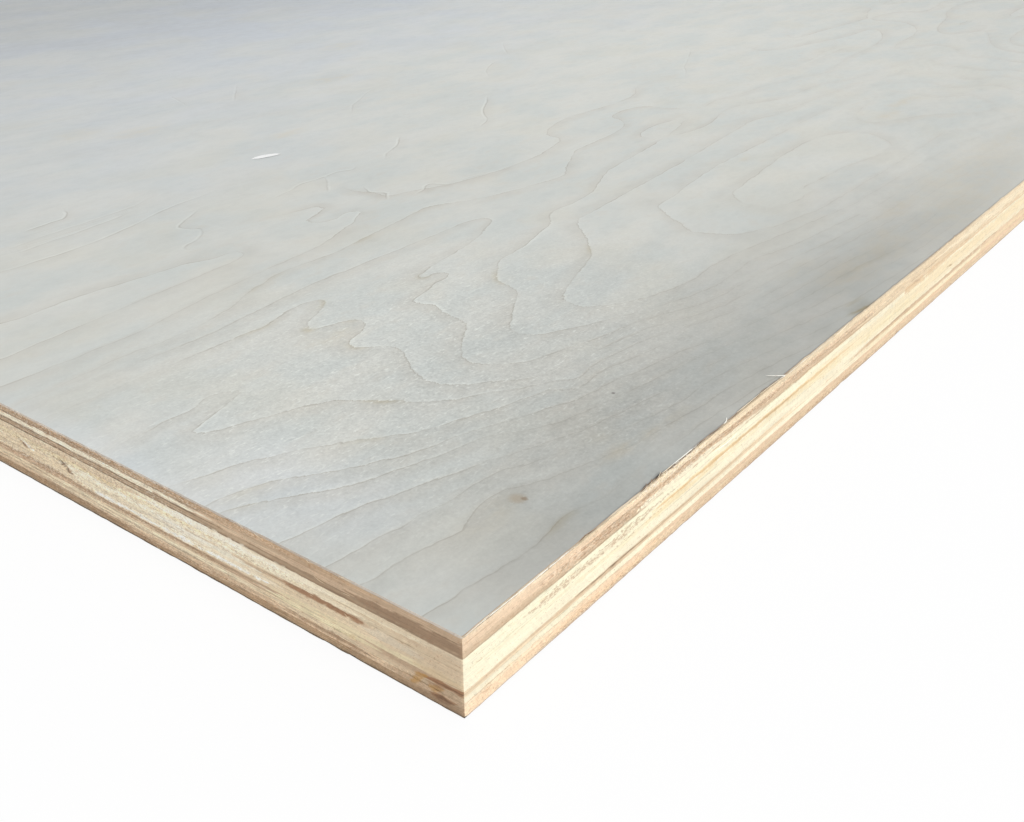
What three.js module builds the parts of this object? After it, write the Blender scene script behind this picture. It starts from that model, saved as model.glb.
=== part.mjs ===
// A hardwood-faced plywood sheet, lying flat with its face up.
//
// Thirteen rotary-cut veneers are glued face to face with their grain crossed. The face veneer,
// the back veneer and every other ply between them have their grain along the sheet. Those are the
// core plies. The plies between them have their grain across the sheet. Those are the crossbands.
// All of them end flush at four square, sawn edges.
//
// Frame: +X along the sheet and its face grain, +Y across it, +Z up, with the origin under the
// middle of the sheet, on what it lies on. Sizes are in millimetres.

import * as THREE from 'three';

// Size of the sheet, the nominal 8 by 4 feet.
const sheetLength = 2440;
const sheetWidth = 1220;

// Thickness of each ply after pressing and sanding, from the face down: 18 mm in all.
const faceVeneerThickness = 0.5;
const crossband1Thickness = 1.5;
const corePly1Thickness = 1.4;
const crossband2Thickness = 1.5;
const corePly2Thickness = 1.5;
const crossband3Thickness = 1.5;
const corePly3Thickness = 2.1;
const crossband4Thickness = 2.05;
const corePly4Thickness = 1.25;
const crossband5Thickness = 1.4;
const corePly5Thickness = 1.3;
const crossband6Thickness = 1.5;
const backVeneerThickness = 0.5;

// Two glued faces lie at exactly the same height. So every height is a whole number of these
// steps, which a 32-bit number holds without rounding.
const heightStep = 1 / 1024;

// Tones of the wood, from the pale sanded face to the brown plies that show as dark lines.
const paleGrey = 0xd2d4d0;
const cream = 0xf0e0bf;
const lightTan = 0xe3caa5;
const tan = 0xd6b58e;
const brown = 0xb89673;

// Roughness of sanded veneer, and of wood that shows only where it was sawn.
const sanded = 0.55;
const sawn = 0.85;

const wood = (color, roughness) => new THREE.MeshStandardMaterial({ color, roughness, metalness: 0 });

// The lay-up, from the back veneer that the sheet lies on up to the face.
const layUp = [
  { name: 'back_veneer', thickness: backVeneerThickness, finish: wood(lightTan, sanded) },
  { name: 'crossband_6', thickness: crossband6Thickness, finish: wood(brown, sawn) },
  { name: 'core_ply_5', thickness: corePly5Thickness, finish: wood(tan, sawn) },
  { name: 'crossband_5', thickness: crossband5Thickness, finish: wood(lightTan, sawn) },
  { name: 'core_ply_4', thickness: corePly4Thickness, finish: wood(brown, sawn) },
  { name: 'crossband_4', thickness: crossband4Thickness, finish: wood(cream, sawn) },
  { name: 'core_ply_3', thickness: corePly3Thickness, finish: wood(cream, sawn) },
  { name: 'crossband_3', thickness: crossband3Thickness, finish: wood(lightTan, sawn) },
  { name: 'core_ply_2', thickness: corePly2Thickness, finish: wood(cream, sawn) },
  { name: 'crossband_2', thickness: crossband2Thickness, finish: wood(brown, sawn) },
  { name: 'core_ply_1', thickness: corePly1Thickness, finish: wood(tan, sawn) },
  { name: 'crossband_1', thickness: crossband1Thickness, finish: wood(tan, sawn) },
  { name: 'face_veneer', thickness: faceVeneerThickness, finish: wood(paleGrey, sanded) },
];

const toStep = (height) => Math.round(height / heightStep) * heightStep;

// One ply between two heights, as long and as wide as the sheet.
function ply(name, bottom, top, finish) {
  const mesh = new THREE.Mesh(new THREE.BoxGeometry(sheetLength, sheetWidth, top - bottom), finish);
  mesh.name = name;
  mesh.position.z = (bottom + top) / 2;
  return mesh;
}

const sheet = new THREE.Group();
let height = 0;
for (const { name, thickness, finish } of layUp) {
  const bottom = toStep(height);
  height += thickness;
  sheet.add(ply(name, bottom, toStep(height), finish));
}

export default sheet;
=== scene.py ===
# %% [markdown]
# # A hardwood-faced plywood sheet
# The sheet is 13 rotary-cut veneers, glued with their grain crossed and sawn square. Its looks are
# in two places: the pale sanded face with its growth figure, and the sawn edges, where every ply
# shows as a line of its own. The solids of the plies come in as a fixed frame, and each one is
# stood for by a finer mesh of the same size.

# %% Load the frame
from math import cos, radians, sin
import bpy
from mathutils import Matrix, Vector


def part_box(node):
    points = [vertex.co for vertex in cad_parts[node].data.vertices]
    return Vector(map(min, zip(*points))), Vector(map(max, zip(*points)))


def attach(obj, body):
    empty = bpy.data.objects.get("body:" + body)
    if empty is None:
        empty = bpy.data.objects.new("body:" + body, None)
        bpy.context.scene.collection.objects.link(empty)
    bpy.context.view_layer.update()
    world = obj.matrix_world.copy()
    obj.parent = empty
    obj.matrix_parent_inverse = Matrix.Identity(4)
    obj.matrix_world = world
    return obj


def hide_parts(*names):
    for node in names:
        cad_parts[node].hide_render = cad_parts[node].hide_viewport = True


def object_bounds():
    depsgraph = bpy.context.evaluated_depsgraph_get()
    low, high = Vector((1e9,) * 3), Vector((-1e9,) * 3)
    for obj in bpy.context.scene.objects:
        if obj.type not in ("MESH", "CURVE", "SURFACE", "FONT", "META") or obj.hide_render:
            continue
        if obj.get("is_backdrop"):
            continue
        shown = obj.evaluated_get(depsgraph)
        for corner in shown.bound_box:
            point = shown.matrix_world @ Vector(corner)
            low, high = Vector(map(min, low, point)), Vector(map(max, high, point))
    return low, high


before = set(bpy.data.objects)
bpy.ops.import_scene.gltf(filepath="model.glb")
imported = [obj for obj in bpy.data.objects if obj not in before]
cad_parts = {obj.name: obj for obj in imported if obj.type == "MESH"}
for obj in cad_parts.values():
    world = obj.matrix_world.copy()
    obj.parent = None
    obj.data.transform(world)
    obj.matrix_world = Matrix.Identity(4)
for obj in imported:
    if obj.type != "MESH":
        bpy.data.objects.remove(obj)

from types import SimpleNamespace

import bpy
import numpy as np
from mathutils import Matrix, Vector

MM = 0.001
SHEET_LOW, SHEET_HIGH = (Vector(corner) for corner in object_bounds())
LENGTH, WIDTH, THICKNESS = ((SHEET_HIGH - SHEET_LOW) / MM)
print(f"sheet {LENGTH:.0f} x {WIDTH:.0f} x {THICKNESS:.1f} mm, {len(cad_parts)} plies")

# %% [markdown]
# ## Where places are measured from
# Everything that is particular to this sheet lies round one corner, so places are given in
# millimetres from that corner: along the long edge, across the sheet, and up from its underside.

# %% Measure from the near corner
def metres(along, across, up=0.0):
    """The place in the frame that is so many millimetres from the near bottom corner."""
    return SHEET_LOW + Vector((along, across, up)) * MM


print("the near top corner is at", [round(part, 3) for part in metres(0, 0, THICKNESS)])

# %% [markdown]
# ## The camera
# The plies are what tells this sheet from a board, so the camera stands two hands' breadths from the
# near corner and looks down over it: both edges run steeply away, and the plies fill the view.
# Forward is worked out from the heading and the tilt, and the roll is a turn round it. A target to
# track would need a constraint, and would leave the roll out.

# %% Place the camera
CAMERA_PLACE = metres(-111.17, -96.66, 139.42)
HEADING, TILT, ROLL = radians(37.69), radians(28.37), radians(0.47)
LENS, SENSOR = 40.19, 36.0
NEAREST, FARTHEST = 0.01, 100.0

forward = Vector((cos(HEADING) * cos(TILT), sin(HEADING) * cos(TILT), -sin(TILT)))
turn = forward.to_track_quat("-Z", "Y").to_matrix() @ Matrix.Rotation(-ROLL, 3, "Z")
camera_data = bpy.data.cameras.new("camera")
camera_data.lens, camera_data.sensor_width = LENS, SENSOR
camera_data.clip_start, camera_data.clip_end = NEAREST, FARTHEST
camera = bpy.data.objects.new("camera", camera_data)
camera.matrix_world = Matrix.Translation(CAMERA_PLACE) @ turn.to_4x4()
bpy.context.scene.collection.objects.link(camera)
bpy.context.scene.camera = camera
print(f"camera {(CAMERA_PLACE - SHEET_LOW).length / MM:.0f} mm from the corner")

# %% [markdown]
# ## Writing a material down
# A node tree is easier to read as arithmetic. `Value` wraps one socket, and Python's operators on it
# add Math nodes. `Tree` is the tree of a material or of the sky: its `node` method adds any other
# node, sets its settings first, and then gives its sockets numbers or links.

# %% Wrap one socket
class Value:
    """One socket of a node tree. An expression on it adds the Math nodes that work it out."""

    def __init__(self, tree, socket):
        self.tree, self.socket = tree, socket

    def __add__(self, other):
        return self.tree.math("ADD", self, other)

    def __sub__(self, other):
        return self.tree.math("SUBTRACT", self, other)

    def __rsub__(self, other):
        return self.tree.math("SUBTRACT", other, self)

    def __mul__(self, other):
        return self.tree.math("MULTIPLY", self, other)

    def __truediv__(self, other):
        return self.tree.math("DIVIDE", self, other)

    def __rtruediv__(self, other):
        return self.tree.math("DIVIDE", other, self)

    __radd__, __rmul__ = __add__, __mul__


# %% Wrap a node tree
def socket_named(sockets, key):
    """A socket by its number, its identifier or its name."""
    if isinstance(key, int):
        return sockets[key]
    return next(socket for socket in sockets if key in (socket.identifier, socket.name))


class Tree:
    """The node tree of a material or of the sky."""

    def __init__(self, owner):
        owner.use_nodes = True
        self.owner, self.tree = owner, owner.node_tree

    def give(self, node_name, inputs):
        """Sets or links sockets of a node that the tree already has."""
        for key, value in inputs.items():
            socket = socket_named(self.tree.nodes[node_name].inputs, key)
            if isinstance(value, Value):
                self.tree.links.new(value.socket, socket)
            else:
                socket.default_value = value

    def node(self, kind, settings=None, inputs=None, output=0):
        """Adds a node, sets its settings, then its sockets, and returns one of its outputs."""
        made = self.tree.nodes.new(kind)
        for name, value in (settings or {}).items():
            setattr(made, name, value)
        self.give(made.name, inputs or {})
        return Value(self, socket_named(made.outputs, output))

    def math(self, operation, *values):
        return self.node("ShaderNodeMath", {"operation": operation}, dict(enumerate(values)))

    def vector(self, operation, *values):
        return self.node("ShaderNodeVectorMath", {"operation": operation}, dict(enumerate(values)))

    def times(self, colour, share):
        """A colour or a vector with all three parts multiplied by one number."""
        inputs = {"Vector": colour, "Scale": share}
        return self.node("ShaderNodeVectorMath", {"operation": "SCALE"}, inputs)

    def part(self, vector, number):
        """One of the three numbers of a vector."""
        return self.node("ShaderNodeSeparateXYZ", None, {0: vector}, number)

    def vector_of(self, x, y, z):
        return self.node("ShaderNodeCombineXYZ", None, {0: x, 1: y, 2: z})

    def smooth(self, value, low, high):
        """0 below low and 1 above high, with a soft step between. With low above high it falls."""
        limits = {"Value": value, "From Min": low, "From Max": high}
        return self.node("ShaderNodeMapRange", {"interpolation_type": "SMOOTHSTEP"}, limits)

    def mix(self, share, first, second):
        """A colour that goes from first to second as share goes from 0 to 1."""
        inputs = {"Factor_Float": share, "A_Color": first, "B_Color": second}
        return self.node("ShaderNodeMix", {"data_type": "RGBA"}, inputs, "Result_Color")

    def noise(self, place, size, detail=2.0, roughness=0.5, shift=0.0):
        """Soft random values about one half, with swells of size (x, y, z) in the units of place."""
        sized = self.vector("DIVIDE", place, size)
        moved = self.vector("ADD", sized, (shift, 1.7 * shift, 2.3 * shift)) if shift else sized
        inputs = {"Vector": moved, "Scale": 1.0, "Detail": detail, "Roughness": roughness}
        return self.node("ShaderNodeTexNoise", None, inputs)

    def attribute(self, name, output="Vector"):
        """Values that a mesh carries at its vertices."""
        return self.node("ShaderNodeAttribute", {"attribute_name": name}, None, output)


# %% [markdown]
# Colours are easiest to judge as numbers on a screen, but a shader counts light. The screen's curve
# is undone once, here, and every colour below is written as it looks.

# %% Turn a colour into light
def tone(red, green, blue):
    """A colour as it looks on a screen, 0 to 255, turned into the light that it reflects."""
    share = np.array([red, green, blue]) / 255
    light = np.where(share <= 0.04045, share / 12.92, ((share + 0.055) / 1.055) ** 2.4)
    return (*(float(part) for part in light), 1.0)


WHITE = (1.0, 1.0, 1.0, 1.0)
print(f"a grey of 128 reflects {tone(128, 128, 128)[0]:.0%} of the light")

# %% [markdown]
# ## The light
# Wood looks like wood in soft light. A white sky fills in from all round, and one large soft lamp in
# front of the long edge makes that edge the brightest surface. Three small lamps would do as well,
# but each would add a shadow of its own. Together the two light a surface that faces up so that a
# colour comes out about as it is written. To the camera, and in mirrors and glass, the sky is full
# white. That share goes to those rays alone, so it puts no light on the sheet.

# %% Light the sheet
FILL = 0.62
LAMP_HEIGHT, LAMP_SIDE = radians(43.0), radians(14.0)
LAMP_AWAY, LAMP_SIZE, LAMP_WATTS = 1.9, 1.2, 20.5


def shown_only(tree):
    """1 for the rays that show a thing to the camera, in a mirror or through glass, otherwise 0."""
    kinds = ("Is Camera Ray", "Is Glossy Ray", "Is Transmission Ray")
    first, *others = (tree.node("ShaderNodeLightPath", output=kind) for kind in kinds)
    for other in others:
        first = tree.math("MAXIMUM", first, other)
    return first


sky = Tree(bpy.data.worlds.new("studio"))
bpy.context.scene.world = sky.owner
sky.give("Background", {"Color": WHITE, "Strength": FILL + shown_only(sky) * (1 - FILL)})

level_share = cos(LAMP_HEIGHT)
towards_lamp = Vector((-sin(LAMP_SIDE) * level_share, -cos(LAMP_SIDE) * level_share, sin(LAMP_HEIGHT)))
LAMP_AIM = metres(150, 60, THICKNESS)
lamp_data = bpy.data.lights.new("softbox", "AREA")
lamp_data.energy, lamp_data.size = LAMP_WATTS, LAMP_SIZE
lamp = bpy.data.objects.new("softbox", lamp_data)
lamp.location = LAMP_AIM + towards_lamp * LAMP_AWAY
lamp.rotation_euler = towards_lamp.to_track_quat("Z", "Y").to_euler()
bpy.context.scene.collection.objects.link(lamp)
bpy.context.scene.view_settings.view_transform = "Standard"
print(f"sky {FILL}, lamp {LAMP_WATTS:.0f} W at {LAMP_AWAY} m")

# %% [markdown]
# ## The floor
# The sheet lies on a plain pale floor, wide enough to fill the view from any side. It hangs a hair
# below the sheet, so that the two don't flicker where they would meet. Its matt paint takes the
# sheet's shadow, and most of a plain white is mixed over that for the rays that show it, so the
# floor fades into the sky. Marking it as stage keeps it out of the object.

# %% Lay the floor
FLOOR_DROP, FLOOR_REACH = 0.3 * MM, 9.0
FLOOR_WHITE = 0.92
FLOOR_PAINT = (0.93, 0.93, 0.93, 1.0)

floor_tree = Tree(bpy.data.materials.new("pale_floor"))
matt = {"Base Color": FLOOR_PAINT, "Roughness": 1.0, "Specular IOR Level": 0.0}
floor_tree.give("Principled BSDF", matt)
lit = Value(floor_tree, floor_tree.tree.nodes["Principled BSDF"].outputs[0])
white = floor_tree.node("ShaderNodeEmission", None, {"Color": WHITE, "Strength": 1.0})
shares = {0: shown_only(floor_tree) * FLOOR_WHITE, 1: lit, 2: white}
floor_tree.give("Material Output", {"Surface": floor_tree.node("ShaderNodeMixShader", None, shares)})

signs = (-1, -1), (1, -1), (1, 1), (-1, 1)
floor_mesh = bpy.data.meshes.new("floor")
corners = [(x * FLOOR_REACH, y * FLOOR_REACH, -FLOOR_DROP) for x, y in signs]
floor_mesh.from_pydata(corners, [], [(0, 1, 2, 3)])
floor_mesh.materials.append(floor_tree.owner)
floor = bpy.data.objects.new("floor", floor_mesh)
bpy.context.scene.collection.objects.link(floor)
floor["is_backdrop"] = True
print("floor", 2 * FLOOR_REACH, "m square")

# %% [markdown]
# ## Random but repeatable
# Wood needs soft random shapes on its meshes as well as in its materials. A sum of cosine waves in
# random directions is smooth at every point, costs little, and gives the same result for the same
# seed.

# %% Make ripples
def ripple(x, y, length, width, seed, waves=28):
    """Smooth random values about 0, mostly within 2, with swells of about length by width."""
    random = np.random.default_rng(seed)
    x_turns = random.normal(0, np.pi / length, waves)
    y_turns = random.normal(0, np.pi / width, waves)
    starts = random.uniform(0, 2 * np.pi, waves)
    total = sum(np.cos(a * x + b * y + c) for a, b, c in zip(x_turns, y_turns, starts))
    return total * np.sqrt(2 / waves)


def fall(value, start, end):
    """1 up to start and 0 past end, with a soft step between."""
    share = np.clip((value - start) / (end - start), 0, 1)
    return 1 - share * share * (3 - 2 * share)


print("ripples at four places:", np.round(ripple(np.arange(4.0), np.zeros(4), 3, 3, seed=1), 2))

# %% [markdown]
# ## The growth figure
# A knife peels the log as it turns, so the face cuts each growth ring at a grazing angle, and the
# rings show as long nested loops. That is a contour map: give every point of the face a ring number,
# and the rings are the lines where the number is whole. Drawing the lines one by one would give no
# shading between them. So a smooth surface of ring numbers is passed through places where a ring
# crosses the face, and further off it becomes random swells, longer along the grain than across it.
# Numbers between whole ones hold a narrow tongue open.

# %% Where the rings cross the face near the corner
RINGS = {
    -1: [[(390, 76), (410, 82), (440, 83), (470, 81), (482, 77), (470, 72), (440, 70), (405, 72)]],
    -0.6: [[(262, 69), (310, 71)]],
    0: [[(285, 82), (238, 76), (233, 72), (229, 66), (237, 61), (285, 58)]],
    0.7: [[(20, 168), (80, 168)]],
    1: [[(350, 98), (262, 96), (238, 93), (210, 89), (204, 82), (195, 67), (197, 62), (203, 54), (215, 49),
         (238, 45), (300, 44), (360, 45)],
        [(14, 158), (50, 161), (92, 164), (98, 167), (87, 171), (75, 174), (50, 177), (27, 177)]],
    2: [[(330, 116), (250, 108), (197, 104), (183, 103), (175, 96), (168, 89), (158, 81), (138, 74),
         (128, 70), (125, 65), (128, 58), (138, 52), (153, 48), (180, 48), (250, 38), (340, 36)],
        [(5, 144), (42, 144), (67, 148), (93, 151), (117, 153), (138, 160), (147, 166), (145, 168),
         (138, 167), (131, 169), (130, 173), (138, 176), (143, 180)],
        [(162, 182), (165, 176), (164, 171), (172, 167.5), (180, 164), (190, 160.6), (210, 157.5),
         (230, 157)],
        [(500, 168), (470, 167), (425, 166), (400, 170), (390, 180), (400, 192), (430, 202), (465, 207),
         (500, 205)]],
    3: [[(355, 146), (325, 143), (300, 135), (275, 130), (235, 125), (208, 115), (182, 113), (175, 108),
         (157, 103), (138, 100), (128, 93), (125, 86), (117, 78), (107, 72), (101, 65), (107, 58),
         (120, 52), (133, 47), (145, 43), (160, 40), (183, 41)],
        [(0, 133), (33, 135), (50, 134), (67, 137), (78, 142), (93, 146), (117, 145), (147, 149),
         (163, 151), (172, 147), (183, 142), (197, 138), (220, 135), (233, 142), (250, 150), (280, 152)]],
    2.5: [[(152, 158), (185, 150), (240, 153)], [(152, 180), (156, 172)]],
    3.8: [[(126, 110), (126, 105)]],
    4: [[(70, 130), (93, 132), (138, 131), (155, 131), (167, 128), (157, 121), (145, 117), (132, 115),
         (118.7, 112.5), (116, 109.4), (122, 107), (115, 104.4), (100, 100), (102, 94), (99, 85), (97, 79),
         (88, 73), (81, 66), (83, 59), (93, 52), (107, 48), (127, 44), (145, 37)]],
    4.15: [[(113, 107), (118, 107.1)]],
    5: [[(0, 122), (22, 122), (67, 121), (80, 124), (86, 122), (82, 117), (72, 112), (71, 109), (78, 107),
         (83, 103), (78, 98), (71, 96), (73, 89), (76, 85), (73, 78), (68, 70), (67, 63), (72, 56),
         (83, 47), (100, 44)]],
    5.8: [[(5, 105), (35, 104), (44, 98), (30, 89.5)]],
    6: [[(3, 99), (35, 99), (37, 97), (32, 95), (18, 91), (18, 89), (27, 85), (42, 79), (50, 72), (55, 65),
         (62, 56), (72, 50), (90, 38)]],
    6.25: [[(8, 95), (20, 95.5), (30, 97.2)]],
    7: [[(0, 77), (13, 73), (27, 66), (40, 57), (50, 50), (67, 44), (93, 36), (117, 32)]],
    8: [[(0, 65), (13, 62), (25, 54), (38, 47), (57, 41), (78, 33), (100, 29)]],
    9: [[(0, 61), (10, 56), (22, 48), (37, 43), (55, 38)]],
    10: [[(0, 44), (17, 41), (33, 36), (50, 30), (67, 24), (87, 20), (113, 17), (138, 12), (167, 6)]],
    11: [[(0, 32), (17, 30), (33, 28), (45, 27), (58, 22), (70, 17), (93, 13)]],
    12: [[(0, 23), (13, 22), (25, 20), (35, 23), (45, 19), (57, 15), (72, 11), (90, 9)]],
    13: [[(0, 9), (25, 6), (42, 7), (48, 5)]],
}
RING_STEP = 14.0


def points_along(line):
    """Points on a broken line, at most a ring step apart."""
    line = np.array(line, float)
    found = []
    for start, end in zip(line[:-1], line[1:]):
        count = int(np.ceil(np.hypot(*(end - start)) / RING_STEP))
        found += [start + (end - start) * k / count for k in range(count)]
    return found + [line[-1]]


crossings = {(*place, ring) for ring, lines in RINGS.items()
             for line in lines for place in points_along(line)}
crossings = np.array(sorted(crossings))
print(len(crossings), "ring crossings from", len(RINGS), "ring numbers")

# %% [markdown]
# ## One smooth surface of ring numbers
# The smooth surface is a thin plate bent through the crossings, laid over the plain swells. A plate
# bends as little as it can between them, which is what a growth ring does too. Squeezing the length a
# little first makes it bend more easily across the grain than along it. Far from the corner the
# swells are longer and calmer, so that the loops there are broad enough to read from across a room.
# How hard each crossing pulls comes from one set of linear equations: one for each crossing, and
# three more that keep the pulls in balance, so that the plate stays calm away from them.

# %% Make the swells
FAR_ALONG, FAR_ACROSS = (750, 1100), (700, 950)  # where the near part of the sheet fades out


def far_off(x, y):
    """0 on the part of the sheet round the near corner, and 1 far away from it."""
    return 1 - fall(x, *FAR_ALONG) * fall(y, *FAR_ACROSS)


SWELLS = [  # height in ring numbers, length and width in millimetres, and what far off adds to it
    (1.7, 900, 170, 0.4), (0.9, 260, 60, -0.75), (0.2, 60, 22, -0.9)]
MIDDLE_RING = 2.5
FRONT_RINGS, FRONT_REACH = 10, 45  # how many more rings there are at an edge, and how far in they fade
BACK_RINGS, BACK_REACH = 6, 90
FACE_SEED = 3


def swells(x, y, seed):
    """Ring numbers where no crossings are given: close rings by the long edges, loose loops inside."""
    far = far_off(x, y)
    number = MIDDLE_RING + FRONT_RINGS * np.exp(-y / FRONT_REACH)
    number = number + BACK_RINGS * np.exp(-(WIDTH - y) / BACK_REACH)
    for index, (height, length, width, more) in enumerate(SWELLS):
        number = number + height * ripple(x, y, length, width, seed + index) * (1 + more * far)
    return number


middle_line = np.linspace(0, LENGTH, 6), np.full(6, WIDTH / 2)
print("ring numbers along the middle of the sheet:", np.round(swells(*middle_line, FACE_SEED), 1))

# %% Bend a plate through the crossings
ALONG_GRAIN = 0.6


def plate_terms(x, y):
    """What each crossing adds at each place, and then the plate's height and its two slopes."""
    squeezed = np.stack([x * ALONG_GRAIN, y], -1)
    apart = squeezed[:, None] - (crossings[:, :2] * (ALONG_GRAIN, 1))[None]
    squares = np.maximum((apart ** 2).sum(2), 1e-9)
    return np.hstack([0.5 * squares * np.log(squares), np.ones((len(x), 1)), squeezed])


count = len(crossings)
system = np.zeros((count + 3, count + 3))
system[:count] = plate_terms(crossings[:, 0], crossings[:, 1])
system[count:, :count] = system[:count, count:].T
missing = crossings[:, 2] - swells(crossings[:, 0], crossings[:, 1], FACE_SEED)
weights = np.linalg.solve(system, np.concatenate([missing, np.zeros(3)]))
print(f"the plate moves the swells by up to {np.abs(missing).max():.1f} rings at a crossing")

# %% Read the ring numbers of the face
HELD_ALONG, HELD_ACROSS = (360, 640), (190, 360)  # the plate fades out between these
AT_ONCE = 4000  # places worked out together, which keeps the memory small
SLOPE_STEP = 0.4


def face_rings(x, y):
    """The ring number of the face at places in millimetres from the corner."""
    number = swells(x, y, FACE_SEED)
    near = np.flatnonzero((x < HELD_ALONG[1]) & (y < HELD_ACROSS[1]))
    for some in np.array_split(near, 1 + len(near) // AT_ONCE):
        held = fall(x[some], *HELD_ALONG) * fall(y[some], *HELD_ACROSS)
        number[some] += held * (plate_terms(x[some], y[some]) @ weights)
    return number


def growth(rings_at, x, y):
    """Ring number, how fast it changes in a millimetre, and how fast along the grain alone."""
    here = rings_at(x, y)
    along = (rings_at(x + SLOPE_STEP, y) - here) / SLOPE_STEP
    across = (rings_at(x, y + SLOPE_STEP) - here) / SLOPE_STEP
    return np.stack([here, np.hypot(along, across), along], -1)


two_places = np.array([0.0, 2000.0]), np.array([0.0, 600.0])
print("ring numbers at the corner and far off:", np.round(face_rings(*two_places), 1))

# %% [markdown]
# ## Stations along a ply
# The saw's roughness and the stains are less than a millimetre wide, and the sheet is metres long. A
# mesh that is fine all over would be far too big, so the places at which a ply has vertices, its
# stations, are close together by the near corner and spread out further off. Rows at fixed shares
# of a ply's thickness do the same for its height: they are closest by the glue.

# %% Choose the stations
WORN_CORNER = [0.0, 0.25, 0.6]


def stations(total, fine, fine_end, coarse, rate):
    """Places along an edge, in millimetres: fine steps up to fine_end, then ever longer ones."""
    places, step = WORN_CORNER + list(np.arange(1.2, fine_end, fine)), fine
    while places[-1] + step < total:
        places.append(places[-1] + step)
        step = min(step * rate, coarse)
    places[-1] = total
    return np.array(places)


SAWN_STATIONS = stations(LENGTH, 0.6, 320, 14, 1.09), stations(WIDTH, 0.6, 150, 14, 1.09)
FACE_STATIONS = stations(LENGTH, 1.4, 240, 22, 1.032), stations(WIDTH, 1.4, 215, 16, 1.037)
BACK_STATIONS = stations(LENGTH, 1.6, 180, 24, 1.05), stations(WIDTH, 1.6, 130, 20, 1.05)
SAWN_ROWS = np.array([0, 0.07, 0.18, 0.33, 0.5, 0.67, 0.82, 0.93, 1])
FACE_ROWS = np.array([0, 0.2, 0.4, 0.6, 0.8, 1])
print("stations of a sawn ply:", [len(places) for places in SAWN_STATIONS])
print("stations of the face:", [len(places) for places in FACE_STATIONS])

# %% [markdown]
# ## The mesh of one ply
# Each ply is a closed slab. Its wall goes once round the sheet in rows, so that the saw's roughness
# and the torn places can be pushed into it. A subdivided cube would spend most of its faces between
# the plies, where no one sees them: here a hidden broad side is a fan of triangles round one middle
# vertex, and only a broad side that shows is a grid.

# %% Go once round a ply
def loop_round(nx, ny):
    """Grid numbers of the places round the outside of an nx by ny grid, once, anticlockwise."""
    front = [(i, 0) for i in range(nx - 1)]
    right = [(nx - 1, j) for j in range(ny - 1)]
    back = [(i, ny - 1) for i in range(nx - 1, 0, -1)]
    left = [(0, j) for j in range(ny - 1, 0, -1)]
    return np.array(front + right + back + left)


print(len(loop_round(*map(len, SAWN_STATIONS))), "vertices in each row round a sawn ply")


# %% Close a broad side
def grid_side(loop, along, across, z, at, made):
    """The vertices and faces of a broad side that shows. Its rim is the wall's row from vertex at."""
    number = np.empty((len(along), len(across)), int)
    number[loop[:, 0], loop[:, 1]] = np.arange(len(loop)) + at
    x, y = np.meshgrid(along[1:-1], across[1:-1], indexing="ij")
    number[1:-1, 1:-1] = made + np.arange(x.size).reshape(x.shape)
    turns = number[:-1, :-1], number[1:, :-1], number[1:, 1:], number[:-1, 1:]
    return np.stack([x.ravel(), y.ravel(), np.full(x.size, z)], -1), np.stack(turns, -1).reshape(-1, 4)


def fan_side(loop, z, at, made):
    """The middle vertex and the triangles of a broad side that is hidden."""
    rim = np.arange(len(loop)) + at
    middle = np.array([[LENGTH / 2, WIDTH / 2, z]])
    return middle, np.stack([rim, np.roll(rim, -1), np.full(len(loop), made)], -1)


# %% Lay out a ply's vertices and faces
def ply_mesh(node, stations_xy, rows, grid=None):
    """A ply's slab: its vertices in millimetres from the corner, its faces, and the ways inward from
    the wall. The wall's vertices come first. grid is "top" or "bottom" for a broad side that shows."""
    along, across = stations_xy
    low, high = ((Vector(corner) - SHEET_LOW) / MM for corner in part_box(node))
    loop = loop_round(len(along), len(across))
    x, y = along[loop[:, 0]], across[loop[:, 1]]
    count = len(loop)
    vertices = [np.stack([x, y, np.full(count, z)], -1) for z in low.z + (high.z - low.z) * rows]
    ring = np.arange(count)
    following = np.roll(ring, -1)
    faces = []
    for row in range(len(rows) - 1):
        at, above = row * count, (row + 1) * count
        faces += np.stack([ring + at, following + at, following + above, ring + above], -1).tolist()
    wall = made = len(rows) * count
    for side, z, at in (("bottom", low.z, 0), ("top", high.z, wall - count)):
        if side == grid:
            added, cap = grid_side(loop, along, across, z, at, made)
        else:
            added, cap = fan_side(loop, z, at, made)
        vertices.append(added)
        faces += (cap if side == "top" else cap[:, ::-1]).tolist()
        made += len(added)
    places, inward = np.vstack(vertices), np.zeros((made, 3))
    inward[:wall, 0] = (places[:wall, 0] <= 0) * 1.0 - (places[:wall, 0] >= LENGTH)
    inward[:wall, 1] = (places[:wall, 1] <= 0) * 1.0 - (places[:wall, 1] >= WIDTH)
    return places, faces, inward


print(len(ply_mesh("crossband_1", SAWN_STATIONS, SAWN_ROWS)[1]), "faces on a sawn ply")


# %% Make a piece from its vertices and faces
SHARP_ANGLE = radians(40)


def add_piece(name, places, faces, finish, attributes):
    """Makes a piece from places in millimetres, with its finish and the values at its vertices."""
    mesh = bpy.data.meshes.new(name)
    mesh.from_pydata((places * MM + np.array(SHEET_LOW)).tolist(), [], faces)
    mesh.polygons.foreach_set("use_smooth", np.ones(len(mesh.polygons), bool))
    mesh.set_sharp_from_angle(angle=SHARP_ANGLE)
    for key, values in attributes.items():
        kind, field = {3: ("FLOAT_VECTOR", "vector"), 4: ("FLOAT_COLOR", "color")}[values.shape[1]]
        stored = mesh.attributes.new(key, kind, "POINT").data
        stored.foreach_set(field, values.astype(np.float32).ravel())
    mesh.materials.append(finish)
    piece = bpy.data.objects.new(name, mesh)
    bpy.context.scene.collection.objects.link(piece)
    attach(piece, "root")
    return piece


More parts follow.
